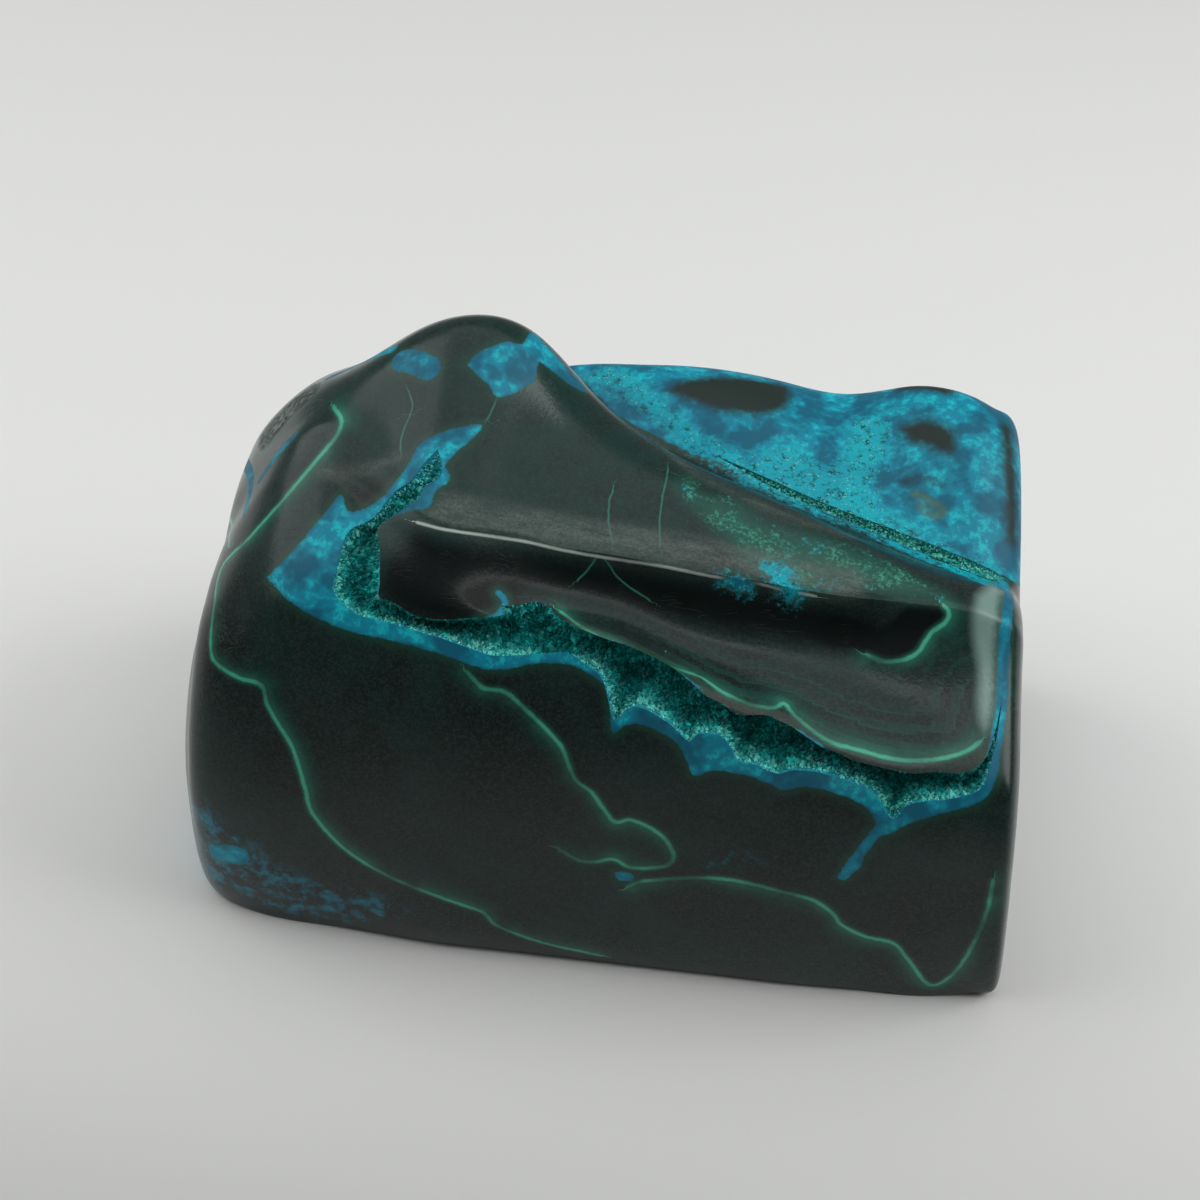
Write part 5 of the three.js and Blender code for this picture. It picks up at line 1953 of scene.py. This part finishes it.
@dataclass
class Studio:
    """A pale table painted darker towards the camera, soft light from above and the camera.

    Attributes:
        table_size: the width of the table top.
        target: what the camera looks at.
        azimuth: the side that it looks from, in degrees.
        elevation: how far it looks down, in degrees.
        distance: how far away it stands.
        lens: its focal length.
        lit: what the lamps face.
        front_sky: how bright the room is low down behind the camera.
        back_sky: how bright it is low down at the back.
        high_sky: how bright it is overhead.
    """

    table_size: float = 3000
    target: Point3 = (-1.16, 2.73, 25)
    azimuth: float = 8
    elevation: float = 40
    distance: float = 216
    lens: float = 60
    lit: Point3 = (0, 0, 30)
    front_sky: float = 0.09
    back_sky: float = 0.22
    high_sky: float = 0.28

    def build(self) -> None:
        """Sets up the table, the lights and the camera."""
        self.build_table()
        self.build_sky()
        self.lamp("overhead", place=(20, 120, 520), size=(700, 480), power=0.75)
        self.lamp("near strip", place=(0, -150, 520), size=(620, 40), power=0.26)
        self.lamp("window", place=(-500, 20, 440), size=(620, 480), power=1.6)
        self.lamp("fill", place=(520, 20, 440), size=(420, 360), power=1.95)
        self.build_camera()

    def build_table(self) -> None:
        """Adds the table top, with painted shade towards the camera."""
        start_clean()
        bpy.ops.mesh.primitive_plane_add(size=self.table_size * MM)
        table = newest("table")
        material, shade, shader = bare_material("table top")
        place = shade.where()
        split = shade.node("SeparateXYZ")
        shade.feed(split.inputs[0], place)
        tone = shade.noise(place, 240, detail=2)
        pale = shade.mix(tone, (0.84, 0.845, 0.83), (0.87, 0.875, 0.86))
        # painted shade: the table grows much darker towards the camera
        near = shade.ease(split.outputs["Y"], 0.01, -0.12)
        shade.feed(shader.inputs["Base Color"], shade.mix(near, pale, (0.35, 0.355, 0.345)))
        shader.inputs["Roughness"].default_value = 0.6
        table.data.materials.append(material)

    def build_sky(self) -> None:
        """Makes the room's light: bright above, darker low down towards the camera."""
        world = bpy.data.worlds.new("room")
        bpy.context.scene.world = world
        world.use_nodes = True
        shade = Shade(world.node_tree)
        split = shade.node("SeparateXYZ")
        shade.feed(split.inputs[0], shade.node("TexCoord").outputs["Generated"])
        low = shade.ease(split.outputs["Y"], -0.6, 0.6, self.front_sky, self.back_sky)
        sky_light = shade.ease(split.outputs["Z"], 0.55, 1.0, low, self.high_sky)
        sky = world.node_tree.nodes["Background"]
        sky.inputs["Color"].default_value = (0.98, 1.0, 0.99, 1)
        shade.feed(sky.inputs["Strength"], sky_light)

    def lamp(self, name: str, place: Point3, size: Point2, power: float) -> None:
        """Adds a soft rectangular light that faces the stone.

        Args:
            name: the lamp's name.
            place: where it hangs.
            size: its width and height.
            power: its power in watts.
        """
        start_clean()
        light = bpy.data.lights.new(name, "AREA")
        light.shape = "RECTANGLE"
        light.size, light.size_y = (side * MM for side in size)
        light.energy = power
        lamp = bpy.data.objects.new(name, light)
        bpy.context.collection.objects.link(lamp)
        lamp.location = Vector(place) * MM
        lamp.rotation_euler = (Vector(self.lit) - Vector(place)).to_track_quat("-Z", "Y").to_euler()

    def build_camera(self) -> None:
        """Adds the camera."""
        toward = Vector(toward_eye(self.azimuth, self.elevation))
        data = bpy.data.cameras.new("camera")
        data.lens = self.lens
        data.clip_start = 0.01
        camera = bpy.data.objects.new("camera", data)
        bpy.context.collection.objects.link(camera)
        camera.location = (Vector(self.target) + toward * self.distance) * MM
        camera.rotation_euler = (-toward).to_track_quat("-Z", "Y").to_euler()
        bpy.context.scene.camera = camera
        bpy.context.scene.view_settings.view_transform = "Standard"


def main() -> None:
    """Builds the stone, its druse and the studio."""
    logging.basicConfig(level=logging.INFO, format="%(message)s")
    effects = Effects()
    specimen = Stone()
    stone = specimen.build(effects)
    pieces = [stone]
    crystal = DruseCrystal().build(effects)
    for druse in (Druse(FRONT_VUG, count=15000), Druse(BACK_VUG, count=2500, bright_share=0.3)):
        pieces.append(druse.build(stone, specimen.whole, crystal))
    for piece in pieces:
        centre(piece)
    Studio().build()
    for piece in pieces:
        piece.data.calc_loop_triangles()
        log.info("%s: %d triangles", piece.name, len(piece.data.loop_triangles))


if __name__ == "__main__":
    main()
